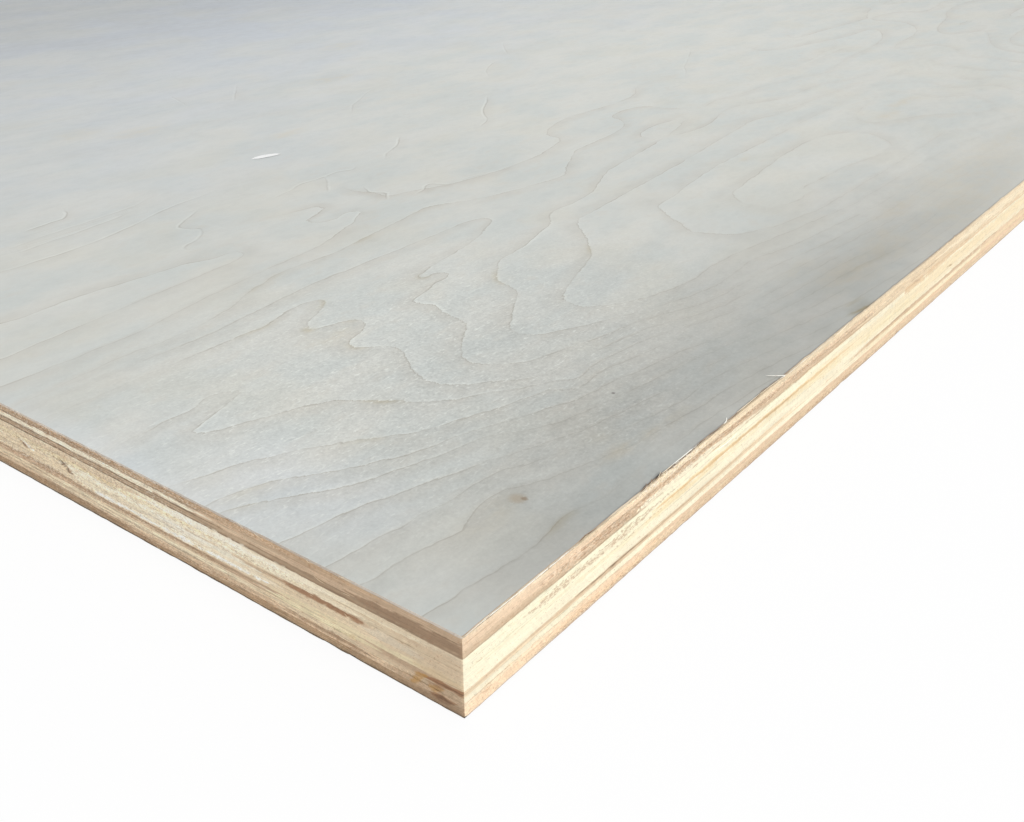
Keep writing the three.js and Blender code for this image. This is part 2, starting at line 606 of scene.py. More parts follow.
# %% [markdown]
# ## The tone of each ply
# Each ply is its own piece of wood, so each has its own tone, and a ply looks different on the two
# kinds of edge: where it is cut along its grain the saw leaves it smooth and pale, and where it is
# cut across its grain it is rougher and darker. The short edge, cut across the face's grain, is the
# darker one.

# %% Name the tones
TONES = {
    "bright": tone(255, 252, 242),
    "ivory": tone(250, 237, 212),
    "butter": tone(244, 239, 211),
    "white": tone(243, 236, 216),
    "snow": tone(252, 253, 252),
    "pale": tone(240, 231, 205),
    "cream": tone(240, 226, 198),
    "straw": tone(234, 220, 184),
    "sand": tone(228, 209, 179),
    "tan": tone(213, 189, 160),
    "pink tan": tone(230, 204, 175),
    "orange tan": tone(216, 182, 142),
    "biscuit": tone(205, 179, 151),
    "nut": tone(195, 169, 141),
    "ash": tone(190, 177, 156),
    "clay": tone(206, 195, 182),
    "peach": tone(238, 211, 180),
    "putty": tone(218, 200, 181),
    "umber": tone(124, 106, 82),
    "honey": tone(236, 214, 170),
    "fringe": tone(255, 241, 214),
    "bark": tone(179, 153, 124),
    "amber": tone(190, 148, 90),
    "brown": tone(183, 158, 131),
    "red brown": tone(160, 120, 90),
    "dark brown": tone(160, 134, 109),
    "grey": tone(224, 211, 189),
    "dark": tone(98, 80, 64),
}

PLY_TONES = {
    "face_veneer": ("ash", "clay"),
    "crossband_1": ("sand", "nut"),
    "core_ply_1": ("tan", "biscuit"),
    "crossband_2": ("tan", "brown"),
    "core_ply_2": ("pale", "cream"),
    "crossband_3": ("pale", "sand"),
    "core_ply_3": ("pale", "sand"),
    "crossband_4": ("pale", "sand"),
    "core_ply_4": ("sand", "biscuit"),
    "crossband_5": ("pale", "sand"),
    "core_ply_5": ("pink tan", "tan"),
    "crossband_6": ("sand", "bark"),
    "back_veneer": ("putty", "umber"),
}
print(len(TONES), "tones for", len(PLY_TONES), "plies")

# %% [markdown]
# ## Streaks on the edges
# On top of that the sawn edges show streaks: veins of darker wood, patches of pale torn fibre, stains
# and joints between strips of veneer. A streak is a line along an edge, with the height of its middle
# and its half width at each point, so a few numbers say where it begins, how it swells and where it
# fades. Noise in the shader would be less work, but noise can't put a vein where one belongs. The
# streaks round the near corner are listed one by one, and the rest of the four edges gets random ones.
# Some streaks are painted light: painted shade at the top of the front edge, where the face veneer is torn
# and lifted, and in three chips of the left edge, and painted highlights on the lifted fibre and beside one
# chip.

# %% Place the streaks of the front edge
EDGES = {  # the axis that the edge runs along, the axis across it, and where it is on that one
    "front": (0, 1, 0.0), "left": (1, 0, 0.0), "back": (0, 1, WIDTH), "right": (1, 0, LENGTH)}

FRONT_STREAKS = [  # the tone, how strong it is, and the run, the height and the half width at each point
    # Painted shade: a dark line all along the top of the front wall, under the torn edge of the face veneer.
    ("dark brown", 0.8, [(0, 18, 0.12), (34, 18, 0.12), (44, 18, 0.16), (LENGTH, 18, 0.16)]),
    # The pale fibre lifted on the top arris, made brighter still as a painted highlight.
    ("bright", 0.65, [(1, 17.7, 0.05), (6, 17.7, 0.1), (30, 17.7, 0.1), (34, 17.7, 0)]),
    ("ivory", 0.35, [(42, 17.75, 0), (46, 17.75, 0.25), (56, 17.75, 0.25), (60, 17.75, 0)]),
    ("cream", 0.35, [(122, 17.75, 0), (140, 17.75, 0.25), (198, 17.75, 0.25), (204, 17.75, 0)]),
    ("cream", 0.5, [(250, 17.75, 0), (270, 17.75, 0.3), (LENGTH, 17.75, 0.3)]),
    # Painted shadow under that lifted fibre.
    ("dark brown", 0.85, [(2, 17.5, 0), (6, 17.5, 0.09), (30, 17.5, 0.09), (34, 17.5, 0)]),
    ("ivory", 0.6, [(1, 16.9, 0), (4, 16.9, 0.5), (18, 16.9, 0.5), (26, 17.0, 0)]),
    ("biscuit", 0.35, [(0, 13.9, 0.9), (56, 13.9, 0.9), (58, 13.9, 0)]),
    ("sand", 0.8, [(160, 13.9, 0), (176, 13.9, 0.9), (240, 13.9, 0.9), (330, 13.9, 0.9),
                   (345, 13.9, 0)]),
    ("pink tan", 0.85, [(0, 15.9, 1.6), (26, 15.9, 1.4), (44, 16.3, 0.7), (60, 16.6, 0)]),
    ("brown", 0.6, [(26, 15.3, 0), (44, 15.5, 0.3), (60, 15.55, 0.45), (110, 15.1, 0.45),
                    (165, 14.6, 0.3), (180, 14.4, 0)]),
    ("dark brown", 0.5, [(32, 15.85, 0), (38, 15.8, 0.1), (46, 15.8, 0.12), (52, 15.7, 0)]),
    ("red brown", 0.5, [(41, 15.3, 0), (43, 15.1, 0.3), (46, 14.7, 0.3), (48, 14.5, 0)]),
    ("tan", 0.6, [(0, 14.6, 0.35), (50, 14.6, 0.35), (56, 14.6, 0)]),
    ("brown", 0.3, [(2, 14.1, 0), (8, 13.9, 0.3), (34, 13.8, 0.3), (54, 13.8, 0.3), (57, 13.9, 0)]),
    ("butter", 0.85, [(0, 12.4, 0.8), (110, 12.4, 0.8), (150, 12.4, 0.6), (170, 12.4, 0)]),
    ("butter", 0.6, [(0, 10.4, 1.0), (60, 10.4, 0.9), (90, 10.6, 0)]),
    ("butter", 0.4, [(0, 9.0, 1.0), (60, 9.0, 0.9), (90, 9.0, 0)]),
    ("butter", 0.6, [(20, 4.0, 0), (26, 4.0, 0.7), (60, 4.0, 0.7), (80, 4.0, 0)]),
    ("butter", 0.7, [(60, 11.0, 0), (66, 11.0, 0.5), (100, 11.0, 0.4), (110, 11.0, 0)]),
    ("tan", 0.3, [(20, 16.9, 0), (26, 16.9, 0.6), (40, 16.9, 0.6), (46, 16.9, 0)]),
    ("straw", 0.5, [(165, 7.6, 0), (185, 7.6, 1.6), (330, 7.6, 1.6), (345, 7.6, 0)]),
    ("dark brown", 0.6, [(40, 14.9, 0), (42, 14.8, 0.15), (44, 14.4, 0.15), (51, 14.2, 0.2),
                         (55, 13.8, 0)]),
    ("dark brown", 0.6, [(0, 13.25, 0.1), (54, 13.3, 0.14), (56, 13.3, 0)]),
    ("pale", 0.95, [(54, 13.9, 0), (58, 13.9, 0.75), (80, 13.9, 0.75), (98, 13.7, 0.5),
                    (110, 13.5, 0)]),
    ("dark brown", 0.4, [(110, 13.4, 0), (130, 13.4, 0.12), (185, 13.3, 0.14), (198, 13.2, 0)]),
    ("sand", 0.7, [(168, 15.5, 0), (180, 15.4, 0.9), (330, 15.4, 0.9), (340, 15.4, 0)]),
    ("cream", 0.8, [(220, 15.2, 0), (262, 15.2, 1.4), (330, 15.2, 1.9), (350, 15.2, 0)]),
    ("sand", 0.45, [(19, 11.0, 0), (26, 10.9, 0.6), (48, 10.8, 0.6), (62, 10.9, 0)]),
    ("straw", 0.4, [(4, 9.5, 0), (10, 9.4, 0.3), (34, 9.2, 0.2), (50, 9.1, 0)]),
    ("straw", 0.5, [(30, 8.8, 0), (50, 8.9, 0.6), (120, 9.0, 0.7), (180, 9.0, 0)]),
    ("honey", 0.5, [(56, 9.2, 0), (62, 9.2, 0.7), (78, 9.2, 0.7), (90, 9.2, 0)]),
    ("honey", 0.9, [(60, 10.4, 0), (66, 10.4, 0.5), (90, 10.3, 0.6), (130, 10.2, 0.6), (160, 10.0, 0)]),
    ("orange tan", 0.55, [(61, 10.3, 0), (68, 10.3, 0.25), (85, 10.2, 0.4), (125, 10.1, 0.5),
                          (150, 10.0, 0.5), (170, 9.9, 0)]),
    ("brown", 0.4, [(92, 10.3, 0), (105, 10.3, 0.15), (128, 10.0, 0.15), (135, 10.0, 0)]),
    ("biscuit", 0.7, [(0, 5.5, 0.15), (20, 5.5, 0.25), (30, 5.4, 0.52), (58, 5.4, 0.52),
                      (64, 5.5, 0.25), (90, 5.5, 0.22), (125, 5.5, 0)]),
    ("brown", 0.35, [(30, 5.7, 0), (36, 5.65, 0.2), (56, 5.5, 0.25), (75, 5.5, 0.2), (96, 5.5, 0)]),
    ("dark", 0.65, [(33, 5.7, 0), (35, 5.7, 0.18), (38, 5.6, 0.04), (40, 5.6, 0.2), (46, 5.55, 0.22),
                    (49, 5.5, 0.1), (51, 5.55, 0.2), (56, 5.5, 0.12), (60, 5.5, 0)]),
    ("pale", 0.9, [(122, 5.3, 0), (136, 5.3, 0.9), (160, 5.4, 0.9), (170, 5.5, 0)]),
    ("biscuit", 0.9, [(162, 5.2, 0), (175, 5.4, 0.5), (200, 5.5, 0.6), (240, 5.6, 0.5), (275, 5.8, 0.4),
                      (290, 5.8, 0)]),
    ("dark brown", 0.4, [(176, 5.6, 0), (182, 5.6, 0.25), (198, 5.6, 0.2), (205, 5.6, 0)]),
    ("orange tan", 0.65, [(198.6, 12.6, 0), (199.2, 12.5, 1.0), (240, 12.5, 0.8), (262, 12.5, 0.45),
                          (330, 12.5, 0.4), (345, 12.5, 0)]),
    ("pale", 0.7, [(213, 12.7, 0), (215, 12.6, 0.3), (218, 12.5, 0)]),
    ("biscuit", 0.8, [(205, 14, 0), (206.5, 13.6, 0.5), (209, 13.0, 0.4), (211, 12.6, 0)]),
    ("cream", 0.8, [(205, 9.0, 0), (220, 9.0, 2.8), (330, 9.0, 2.8), (340, 9.0, 0)]),
    ("pink tan", 0.75, [(270.5, 3.6, 0), (271.5, 3.6, 2.3), (330, 3.6, 2.3), (345, 3.6, 0)]),
    ("dark brown", 0.85, [(236, 8.7, 0), (238, 8.5, 0.25), (240.5, 8.1, 0.25), (242, 7.8, 0)]),
    ("peach", 0.9, [(0, 1.9, 1.2), (24, 1.8, 1.2), (46, 1.8, 0.9), (64, 1.7, 0)]),
    ("cream", 0.5, [(0, 2.9, 0.2), (12, 2.9, 0.4), (30, 2.9, 0.3), (40, 2.8, 0)]),
    ("orange tan", 0.3, [(20, 1.2, 0), (34, 1.3, 0.5), (60, 1.3, 0.6), (150, 1.3, 0.6), (180, 1.3, 0)]),
    ("dark brown", 0.5, [(0, 0.1, 0.05), (30, 0.15, 0.1), (60, 0.2, 0.2), (120, 0.3, 0.25),
                         (170, 0.3, 0.2), (LENGTH, 0.2, 0.2)]),
    ("red brown", 0.6, [(0, 0.1, 0.15), (1.6, 0.1, 0.15), (3, 0.1, 0)]),
    # Painted shade at the top of the face veneer's wall, in the notches where it is torn back and under the
    # places where it lifts.
    ("dark", 0.9, [(34, 17.8, 0), (35, 17.8, 0.1), (38.5, 17.8, 0.1), (40, 17.8, 0)]),
    ("dark", 1.0, [(55.2, 17.8, 0), (56.4, 17.85, 0.2), (57.6, 17.75, 0.06), (58.6, 17.85, 0.22),
                   (60.2, 17.8, 0.08), (61.4, 17.85, 0.3), (63.0, 17.8, 0.2), (64.5, 17.75, 0)]),
    ("dark", 0.9, [(64, 17.8, 0), (66, 17.85, 0.12), (70, 17.8, 0.16), (79, 17.8, 0.14),
                   (82, 17.8, 0)]),
    ("dark", 0.85, [(82, 17.85, 0), (84, 17.85, 0.12), (87, 17.85, 0.12), (89, 17.8, 0)]),
    ("dark", 0.85, [(90, 17.8, 0), (94, 17.8, 0.12), (105, 17.75, 0.1), (116, 17.85, 0.12),
                    (124, 17.8, 0)]),
    ("tan", 0.5, [(56, 2.6, 0), (64, 2.6, 0.6), (240, 2.6, 0.6), (290, 2.6, 0)]),
    ("tan", 0.55, [(56, 1.3, 0), (70, 1.3, 0.6), (260, 1.3, 0.6), (300, 1.3, 0)]),
    ("honey", 0.35, [(120, 9.6, 0), (140, 9.6, 2.0), (330, 9.6, 2.0), (500, 9.6, 0)]),
    ("honey", 0.3, [(160, 4.0, 0), (180, 4.0, 0.8), (330, 4.0, 0.8), (500, 4.0, 0)]),
    ("bright", 0.7, [(120, 17.5, 0), (126, 17.4, 0.05), (146, 17.4, 0.05), (150, 17.4, 0)]),
]
print(len(FRONT_STREAKS), "streaks on the front edge")

# %% Place the streaks of the left edge
LEFT_STREAKS = [
    ("dark brown", 0.22, [(0, 7, 9.5), (7, 7, 9.5), (16, 7, 4), (20, 7, 0)]),
    ("orange tan", 0.25, [(16, 17.2, 0), (24, 17.1, 0.5), (60, 17.1, 0.4), (150, 17.1, 0.4),
                          (180, 17.1, 0)]),
    ("dark brown", 0.95, [(0, 14.7, 1.6), (14, 14.7, 1.4), (20, 14.8, 1.0), (28, 15.0, 0)]),
    ("sand", 0.3, [(40, 15.4, 0), (50, 15.4, 0.4), (60, 15.3, 0.35), (76, 15.2, 0)]),
    ("dark brown", 0.5, [(20, 13.5, 0), (30, 13.45, 0.2), (70, 13.4, 0.12), (150, 13.35, 0.15)]),
    ("dark", 0.35, [(0, 13.3, 0.1), (60, 13.25, 0.12), (150, 13.2, 0.1)]),
    ("tan", 0.45, [(44, 14.0, 0), (56, 14.0, 0.55), (150, 13.9, 0.55), (180, 13.9, 0)]),
    ("ivory", 0.95, [(62, 15.4, 0), (74, 15.35, 0.5), (86, 15.3, 0.66), (100, 15.3, 0.7),
                     (130, 15.25, 0.7), (180, 15.2, 0.65), (200, 15.2, 0)]),
    ("dark", 0.6, [(60, 14.6, 0), (70, 14.6, 0.1), (86, 14.5, 0.16), (150, 14.5, 0.18),
                   (180, 14.5, 0)]),
    ("dark", 0.4, [(60, 13.85, 0), (70, 13.85, 0.14), (150, 13.85, 0.14), (170, 13.8, 0)]),
    ("dark", 0.5, [(50, 13.2, 0), (60, 13.2, 0.12), (150, 13.2, 0.14), (180, 13.2, 0)]),
    ("dark", 0.55, [(64, 16.1, 0), (76, 16.05, 0.1), (150, 16.05, 0.12), (180, 16.05, 0)]),
    ("dark", 0.3, [(60, 17.0, 0), (70, 17.0, 0.1), (150, 17.0, 0.12), (170, 17.0, 0)]),
    ("dark brown", 0.5, [(90, 16.6, 0), (106, 16.6, 0.5), (150, 16.6, 0.5), (180, 16.6, 0)]),
    ("tan", 0.5, [(0, 11.6, 0.9), (8, 11.4, 0.8), (18, 11.2, 0)]),
    ("tan", 0.35, [(0, 12.6, 0.7), (20, 12.5, 0.7), (28, 12.4, 0)]),
    ("ivory", 0.95, [(26, 12.3, 0), (42, 12.1, 1.0), (62, 11.7, 1.5), (82, 11.3, 1.5), (92, 11.0, 0.6),
                     (98, 11, 0)]),
    ("bright", 0.35, [(42, 12.1, 0), (52, 12.0, 0.8), (78, 11.8, 0.8), (86, 11.6, 0)]),
    ("ivory", 0.5, [(22, 10.7, 0), (30, 10.7, 0.6), (70, 10.7, 0.7), (84, 10.8, 0)]),
    ("sand", 0.5, [(8, 12.7, 0), (12, 12.7, 0.4), (20, 12.6, 0.4), (24, 12.6, 0)]),
    ("cream", 0.7, [(20, 10.8, 0), (28, 10.8, 0.8), (60, 10.6, 1.0), (90, 10.6, 0)]),
    ("honey", 0.5, [(56, 10.9, 0), (68, 10.9, 0.3), (88, 10.9, 0.6), (112, 10.9, 0.6), (125, 10.9, 0)]),
    ("tan", 0.6, [(84, 12.0, 0), (92, 12.1, 0.8), (108, 12.1, 0.9), (140, 12.2, 0.8), (160, 12.2, 0)]),
    ("grey", 0.6, [(8, 8.9, 0), (12, 8.9, 1.0), (20, 8.8, 1.0), (26, 8.8, 0)]),
    ("tan", 0.4, [(0, 9.2, 1.4), (6, 9.0, 1.0), (12, 9.0, 0)]),
    ("tan", 0.8, [(20, 9.5, 0), (24, 9.45, 0.8), (38, 9.4, 0.8), (48, 9.3, 0.5), (62, 9.25, 0)]),
    ("red brown", 0.85, [(22.5, 9.6, 0), (25, 9.5, 0.6), (30, 9.5, 0.8), (37, 9.45, 0.7),
                         (43, 9.4, 0.35), (50, 9.3, 0)]),
    ("brown", 0.4, [(42, 9.4, 0), (50, 9.3, 0.3), (62, 9.25, 0)]),
    ("ivory", 0.7, [(44, 7.6, 0), (52, 7.4, 1.2), (80, 7.3, 1.5), (100, 7.5, 1.5), (111, 8.0, 0.9),
                    (113.4, 8.4, 0)]),
    ("white", 0.85, [(50, 8.7, 0), (60, 8.8, 0.8), (90, 8.8, 0.9), (108, 8.9, 0.8), (113.4, 9.0, 0)]),
    ("bright", 0.35, [(62, 9.0, 0), (68, 9.0, 0.5), (84, 9.0, 0.5), (112, 9.2, 0.5), (114, 9.2, 0)]),
    ("grey", 0.6, [(64, 8.5, 0), (78, 8.4, 0.4), (100, 8.4, 0.5), (112, 8.6, 0)]),
    ("honey", 0.35, [(80, 8.9, 0), (90, 8.9, 0.9), (108, 8.9, 0.9), (113, 9.1, 0)]),
    ("fringe", 1.0, [(80, 9.7, 0), (88, 9.85, 0.25), (96, 9.95, 0.35), (104, 10.1, 0.45),
                     (110, 10.2, 0.45), (113.8, 10.0, 0.3), (114.4, 10.0, 0)]),
    ("ivory", 0.9, [(54, 10.2, 0), (60, 10.1, 0.3), (90, 10.0, 0.3), (98, 10, 0)]),
    ("bright", 0.8, [(46, 6.9, 0), (52, 6.8, 0.25), (70, 6.6, 0.3), (84, 6.6, 0.35), (104, 6.7, 0.3),
                     (108, 6.9, 0)]),
    ("dark brown", 0.5, [(86, 7.6, 0), (89, 7.6, 0.12), (94, 7.6, 0.1), (97, 7.6, 0)]),
    ("brown", 0.5, [(56, 9.6, 0), (60, 9.55, 0.12), (72, 9.5, 0.1), (76, 9.5, 0)]),
    # The brown and dark streaks at the chips at 114 and 132 mm are painted shade in their hollows, and the
    # bright one is a painted highlight on the rim of the second.
    ("brown", 1.0, [(111.0, 8.2, 0), (112.2, 8.4, 0.5), (113.8, 8.8, 0.7), (114.8, 9.3, 0.4),
                    (115.4, 9.7, 0)]),
    ("dark", 0.7, [(111.6, 7.9, 0), (112.6, 8.1, 0.2), (113.8, 8.5, 0.25), (114.8, 9.2, 0.2),
                   (115.4, 9.8, 0.2), (116, 10.2, 0)]),
    ("dark", 1.0, [(113.6, 9.8, 0), (114.3, 10.0, 0.25), (115.0, 10.25, 0.4), (115.6, 10.4, 0.3),
                   (116.2, 10.5, 0)]),
    ("dark brown", 1.0, [(128.6, 8.8, 0), (129.6, 9.1, 0.4), (131.0, 9.7, 0.5), (131.9, 10.3, 0.35),
                         (132.8, 10.7, 0)]),
    ("dark", 0.8, [(129.6, 9.0, 0), (130.4, 9.3, 0.15), (131.6, 9.9, 0.2), (132.4, 10.4, 0)]),
    ("bright", 1.0, [(126.0, 8.9, 0), (127.4, 9.1, 0.25), (129.0, 9.8, 0.3), (130.2, 10.3, 0.25),
                     (131.2, 10.6, 0)]),
    ("straw", 0.5, [(100, 10.8, 0), (112, 10.8, 0.7), (150, 10.8, 0.7), (170, 10.8, 0)]),
    ("straw", 0.7, [(4, 6.7, 0), (12, 6.6, 0.6), (40, 6.4, 0.6), (50, 6.2, 0)]),
    ("ivory", 0.7, [(24, 5.3, 0), (30, 5.4, 0.4), (42, 5.2, 0.5), (48, 5.2, 0.2), (54, 5.4, 0)]),
    ("straw", 0.9, [(18, 5.2, 0), (26, 5.2, 0.8), (42, 5.1, 0.8), (50, 5.0, 0)]),
    ("brown", 0.8, [(46, 5.6, 0), (54, 5.5, 0.3), (75, 5.5, 0.38), (100, 5.4, 0.38), (108, 5.6, 0.35),
                    (116, 6.2, 0.4), (126, 6.3, 0.4), (150, 5.9, 0.35), (170, 5.7, 0)]),
    ("dark brown", 0.5, [(60, 5.7, 0), (66, 5.8, 0.12), (96, 5.7, 0.12), (110, 6.1, 0.12),
                         (130, 6.5, 0)]),
    ("sand", 0.5, [(60, 4.9, 0), (70, 4.9, 0.35), (110, 5.0, 0.35), (120, 5.2, 0)]),
    ("straw", 0.5, [(0, 7.0, 0.9), (9, 7.0, 0.8), (16, 7.0, 0)]),
    ("amber", 0.25, [(0, 6.6, 0.7), (7, 6.7, 0.9), (12, 6.6, 0)]),
    ("tan", 0.5, [(8, 4.4, 0), (12, 4.4, 0.7), (22, 4.4, 0.7), (28, 4.4, 0)]),
    ("red brown", 0.95, [(0, 5.3, 0.6), (5, 5.2, 0.5), (8.5, 5.15, 0.35), (10.5, 5.1, 0)]),
    ("brown", 0.6, [(0, 2.6, 2.2), (6, 2.6, 2.0), (12, 2.6, 1.2), (20, 2.6, 0)]),
    ("dark", 0.5, [(0, 5.2, 0.2), (4, 5.15, 0.2), (7, 5.1, 0)]),
    ("brown", 0.5, [(0, 3.9, 0.6), (6, 3.9, 0.5), (14, 4.2, 0)]),
    ("amber", 0.6, [(4.2, 4.2, 0), (5.4, 4.0, 0.6), (6.6, 3.4, 0.9), (7.6, 3.4, 0.5), (8.4, 3.4, 0)]),
    ("amber", 0.75, [(7.8, 5.6, 0), (8.8, 5.2, 0.6), (9.8, 4.4, 1.3), (10.8, 3.6, 1.4),
                     (11.6, 2.6, 0.9), (12.4, 2, 0)]),
    ("red brown", 0.5, [(4, 4.6, 0), (5, 4.4, 0.35), (8, 4.2, 0.4), (9, 4.2, 0)]),
    # Painted shade in the chip by the corner.
    ("red brown", 0.8, [(1.6, 2.4, 0), (3.0, 2.3, 0.5), (5, 2.1, 0.8), (6.8, 2.0, 0.6), (8.0, 2.1, 0)]),
    ("dark", 0.4, [(2.2, 2.0, 0), (3.4, 1.9, 0.5), (5.5, 1.9, 0.5), (7.0, 1.9, 0)]),
    ("cream", 0.6, [(52, 3.8, 0), (62, 3.8, 0.7), (90, 3.5, 0.7), (112, 4.2, 0.6), (124, 4.4, 0)]),
    ("dark brown", 0.7, [(76, 1.3, 0), (84, 1.2, 0.12), (96, 1.35, 0.14), (108, 2.1, 0.16),
                         (120, 2.2, 0.1), (135, 2.0, 0)]),
    ("tan", 0.7, [(52, 2.0, 0), (64, 1.9, 0.6), (92, 2.1, 0.6), (106, 2.7, 0)]),
    ("dark brown", 0.7, [(20, 2.7, 0), (26, 2.8, 0.4), (38, 2.9, 0.45), (46, 2.8, 0)]),
    ("sand", 0.25, [(100, 2.9, 0), (110, 2.9, 0.5), (140, 2.9, 0.5), (160, 2.9, 0)]),
    ("dark", 0.25, [(0, 1.2, 1.4), (8, 1.2, 1.2), (12, 1.2, 0)]),
    ("tan", 0.4, [(0, 7.0, 1.0), (8, 7.0, 1.0), (12, 7.0, 0)]),
    ("tan", 0.35, [(10, 4.0, 0), (13, 4.0, 0.7), (22, 4.0, 0.7), (26, 4.0, 0)]),
    ("dark", 0.5, [(54, 0.45, 0), (64, 0.45, 0.08), (150, 0.4, 0.1), (190, 0.4, 0)]),
    ("cream", 0.5, [(88, 2.7, 0), (96, 2.9, 0.5), (116, 3.0, 0.5), (130, 3.1, 0)]),
    ("dark brown", 0.5, [(0, 1.0, 0.6), (12, 0.9, 0.5), (20, 0.8, 0)]),
    ("dark", 0.3, [(0, 0.2, 0.4), (150, 0.2, 0.4), (200, 0.2, 0)]),
    ("dark brown", 0.45, [(60, 3.2, 0), (70, 3.2, 0.14), (100, 3.4, 0.16), (126, 3.9, 0.14),
                          (140, 4.0, 0)]),
    ("dark brown", 0.4, [(66, 0.9, 0), (76, 0.8, 0.14), (110, 1.2, 0.14), (130, 1.3, 0)]),
]
print(len(LEFT_STREAKS), "streaks on the left edge")

# %% Strew streaks on the rest of the edges
STREAKS = {"front": FRONT_STREAKS, "left": LEFT_STREAKS, "back": [], "right": []}
HAND_PLACED_TO = {"front": 320.0, "left": 150.0, "back": 0.0, "right": 0.0}
STREAK_KINDS = ["brown", "sand", "tan", "cream", "orange tan", "dark brown", "red brown", "white"]
STREAK_EVERY = 34.0

random = np.random.default_rng(7)
for edge, streaks in STREAKS.items():
    total = (LENGTH, WIDTH)[EDGES[edge][0]]
    for start in np.arange(HAND_PLACED_TO[edge], total, STREAK_EVERY):
        length, height = random.uniform(20, 170), random.uniform(0.8, 17.2)
        half, slope = random.uniform(0.15, 0.55), random.normal(0, 0.3)
        middle = (start + length * random.uniform(0.3, 0.7), height, half)
        ends = (start, height - slope, 0), (start + length, height + slope, 0)
        streaks.append((random.choice(STREAK_KINDS), random.uniform(0.35, 0.8), [ends[0], middle, ends[1]]))
print({edge: len(streaks) for edge, streaks in STREAKS.items()}, "streaks")

# %% [markdown]
# ## Rough places on the edges
# Some places are rougher than others. Torn fibre ends stand up as white tufts, small brown specks of
# glue and bark show through, or the layers of the wood stand out as fine level lines. Three more
# values say how frayed, how speckled and how lined each place is. They are laid out as the streaks
# are, and the shader draws the roughness itself.

# %% Place the frayed, the speckled and the lined wood
FRAYED = {  # how frayed, and the run, the height and the half width at each point
    "front": [
        (0.16, [(0, 15.8, 2.4), (LENGTH, 15.8, 2.4)]),
        (0.12, [(56, 1.8, 2), (LENGTH, 1.8, 2)]),
        (0.3, [(0, 1.9, 1.6), (60, 1.9, 1.6), (74, 1.9, 0)]),
        (0.5, [(20, 15.0, 0), (30, 15.0, 1.6), (54, 14.8, 1.6), (66, 15.6, 1.6), (80, 15.6, 1.4),
               (165, 15.2, 1), (200, 15.0, 0)]),
        (0.8, [(52, 17.0, 0), (58, 17.0, 1.0), (76, 17.0, 1.0), (84, 17.0, 0)])],
    "left": [
        (0.2, [(16, 9.6, 0), (30, 9.6, 3.4), (WIDTH, 9.6, 3.4)]),
        (0.35, [(0, 2, 2.4), (WIDTH, 2, 2.4)]),
        (0.45, [(56, 2, 0), (72, 2, 2.6), (WIDTH, 2, 2.6)]),
        (0.55, [(64, 12.8, 0), (80, 12.8, 2.4), (WIDTH, 12.8, 2.4)]),
        (0.5, [(64, 7, 0), (80, 7, 3), (WIDTH, 7, 3)]),
        (0.6, [(64, 16.6, 0), (78, 16.6, 1.6), (WIDTH, 16.6, 1.6)]),
        (0.7, [(36, 11.4, 0), (48, 11.0, 1.2), (84, 10.6, 1.6), (110, 10.2, 1.2), (140, 9.9, 1.0),
               (170, 9.5, 0)]),
        (1.0, [(84, 9.7, 0), (92, 9.9, 0.4), (110, 10.2, 0.5), (116, 10.2, 0)]),
        (0.7, [(45, 7.0, 0), (60, 6.8, 0.8), (112, 7.0, 0.9), (135, 7.0, 1.2), (150, 7.0, 0)]),
        (0.5, [(40, 16.8, 0), (52, 16.8, 0.8), (70, 16.8, 0.9), (80, 16.8, 0)])],
    "back": [(0.6, [(0, 12.0, 1.0), (LENGTH, 9.0, 1.4)])],
    "right": [(0.8, [(0, 12.0, 1.0), (WIDTH, 8.0, 1.6)])],
}
SPECKLED = {
    "front": [
        (0.1, [(0, 9, 10), (LENGTH, 9, 10)]),
        (1, [(15, 11.2, 0), (24, 11.1, 0.9), (54, 11.2, 1.1), (60, 11.4, 0.5), (76, 11.6, 0)]),
        (0.8, [(40, 9.4, 0), (56, 9.4, 0.4), (72, 9.2, 0)]),
        (0.9, [(18, 0.7, 0), (30, 0.7, 0.5), (180, 0.8, 0.6), (260, 0.9, 0)]),
        (0.7, [(20, 15.2, 0), (30, 15.0, 1.0), (54, 14.8, 1.2), (110, 15.4, 0.6), (150, 15.2, 0)])],
    "left": [
        (0.2, [(0, 9, 10), (WIDTH, 9, 10)]),
        (0.7, [(20, 17, 0), (30, 17, 0.6), (130, 17, 0.6), (150, 17, 0)]),
        (0.7, [(16, 1.4, 0), (30, 2.4, 1.2), (50, 2.0, 1.2), (150, 1.2, 0.8)]),
        (0.8, [(60, 5.3, 0), (70, 5.3, 0.9), (140, 5.8, 0.9), (170, 5.8, 0)]),
        (0.6, [(84, 12.0, 0), (100, 11.6, 1.2), (150, 11.0, 1.2)])],
    "back": [(0.7, [(0, 1.2, 0.8), (LENGTH, 1.6, 0.8)])],
    "right": [(0.7, [(0, 2.0, 1.2), (WIDTH, 1.2, 1.0)])],
}
LINED = {
    "front": [
        (0.15, [(0, 9, 10), (LENGTH, 9, 10)]),
        (0.45, [(18, 15.6, 0), (30, 15.6, 2.2), (LENGTH, 15.6, 2.2)]),
        (0.35, [(50, 1.8, 0), (60, 1.8, 2.2), (LENGTH, 1.8, 2.2)])],
    "left": [
        (0.3, [(0, 9, 10), (WIDTH, 9, 10)]),
        (0.5, [(0, 15.6, 2.4), (40, 15.6, 2.4), (WIDTH, 15.6, 2.4)]),
        (1.0, [(50, 15.6, 0), (70, 15.6, 2.4), (WIDTH, 15.6, 2.4)]),
        (1.1, [(20, 3.0, 0), (30, 3.0, 3.4), (WIDTH, 3.0, 3.4)]),
        (0.6, [(60, 9, 0), (80, 9, 4), (WIDTH, 9, 4)])],
    "back": [(0.4, [(0, 9, 10), (LENGTH, 9, 10)])],
    "right": [(0.8, [(0, 9, 10), (WIDTH, 9, 10)])],
}
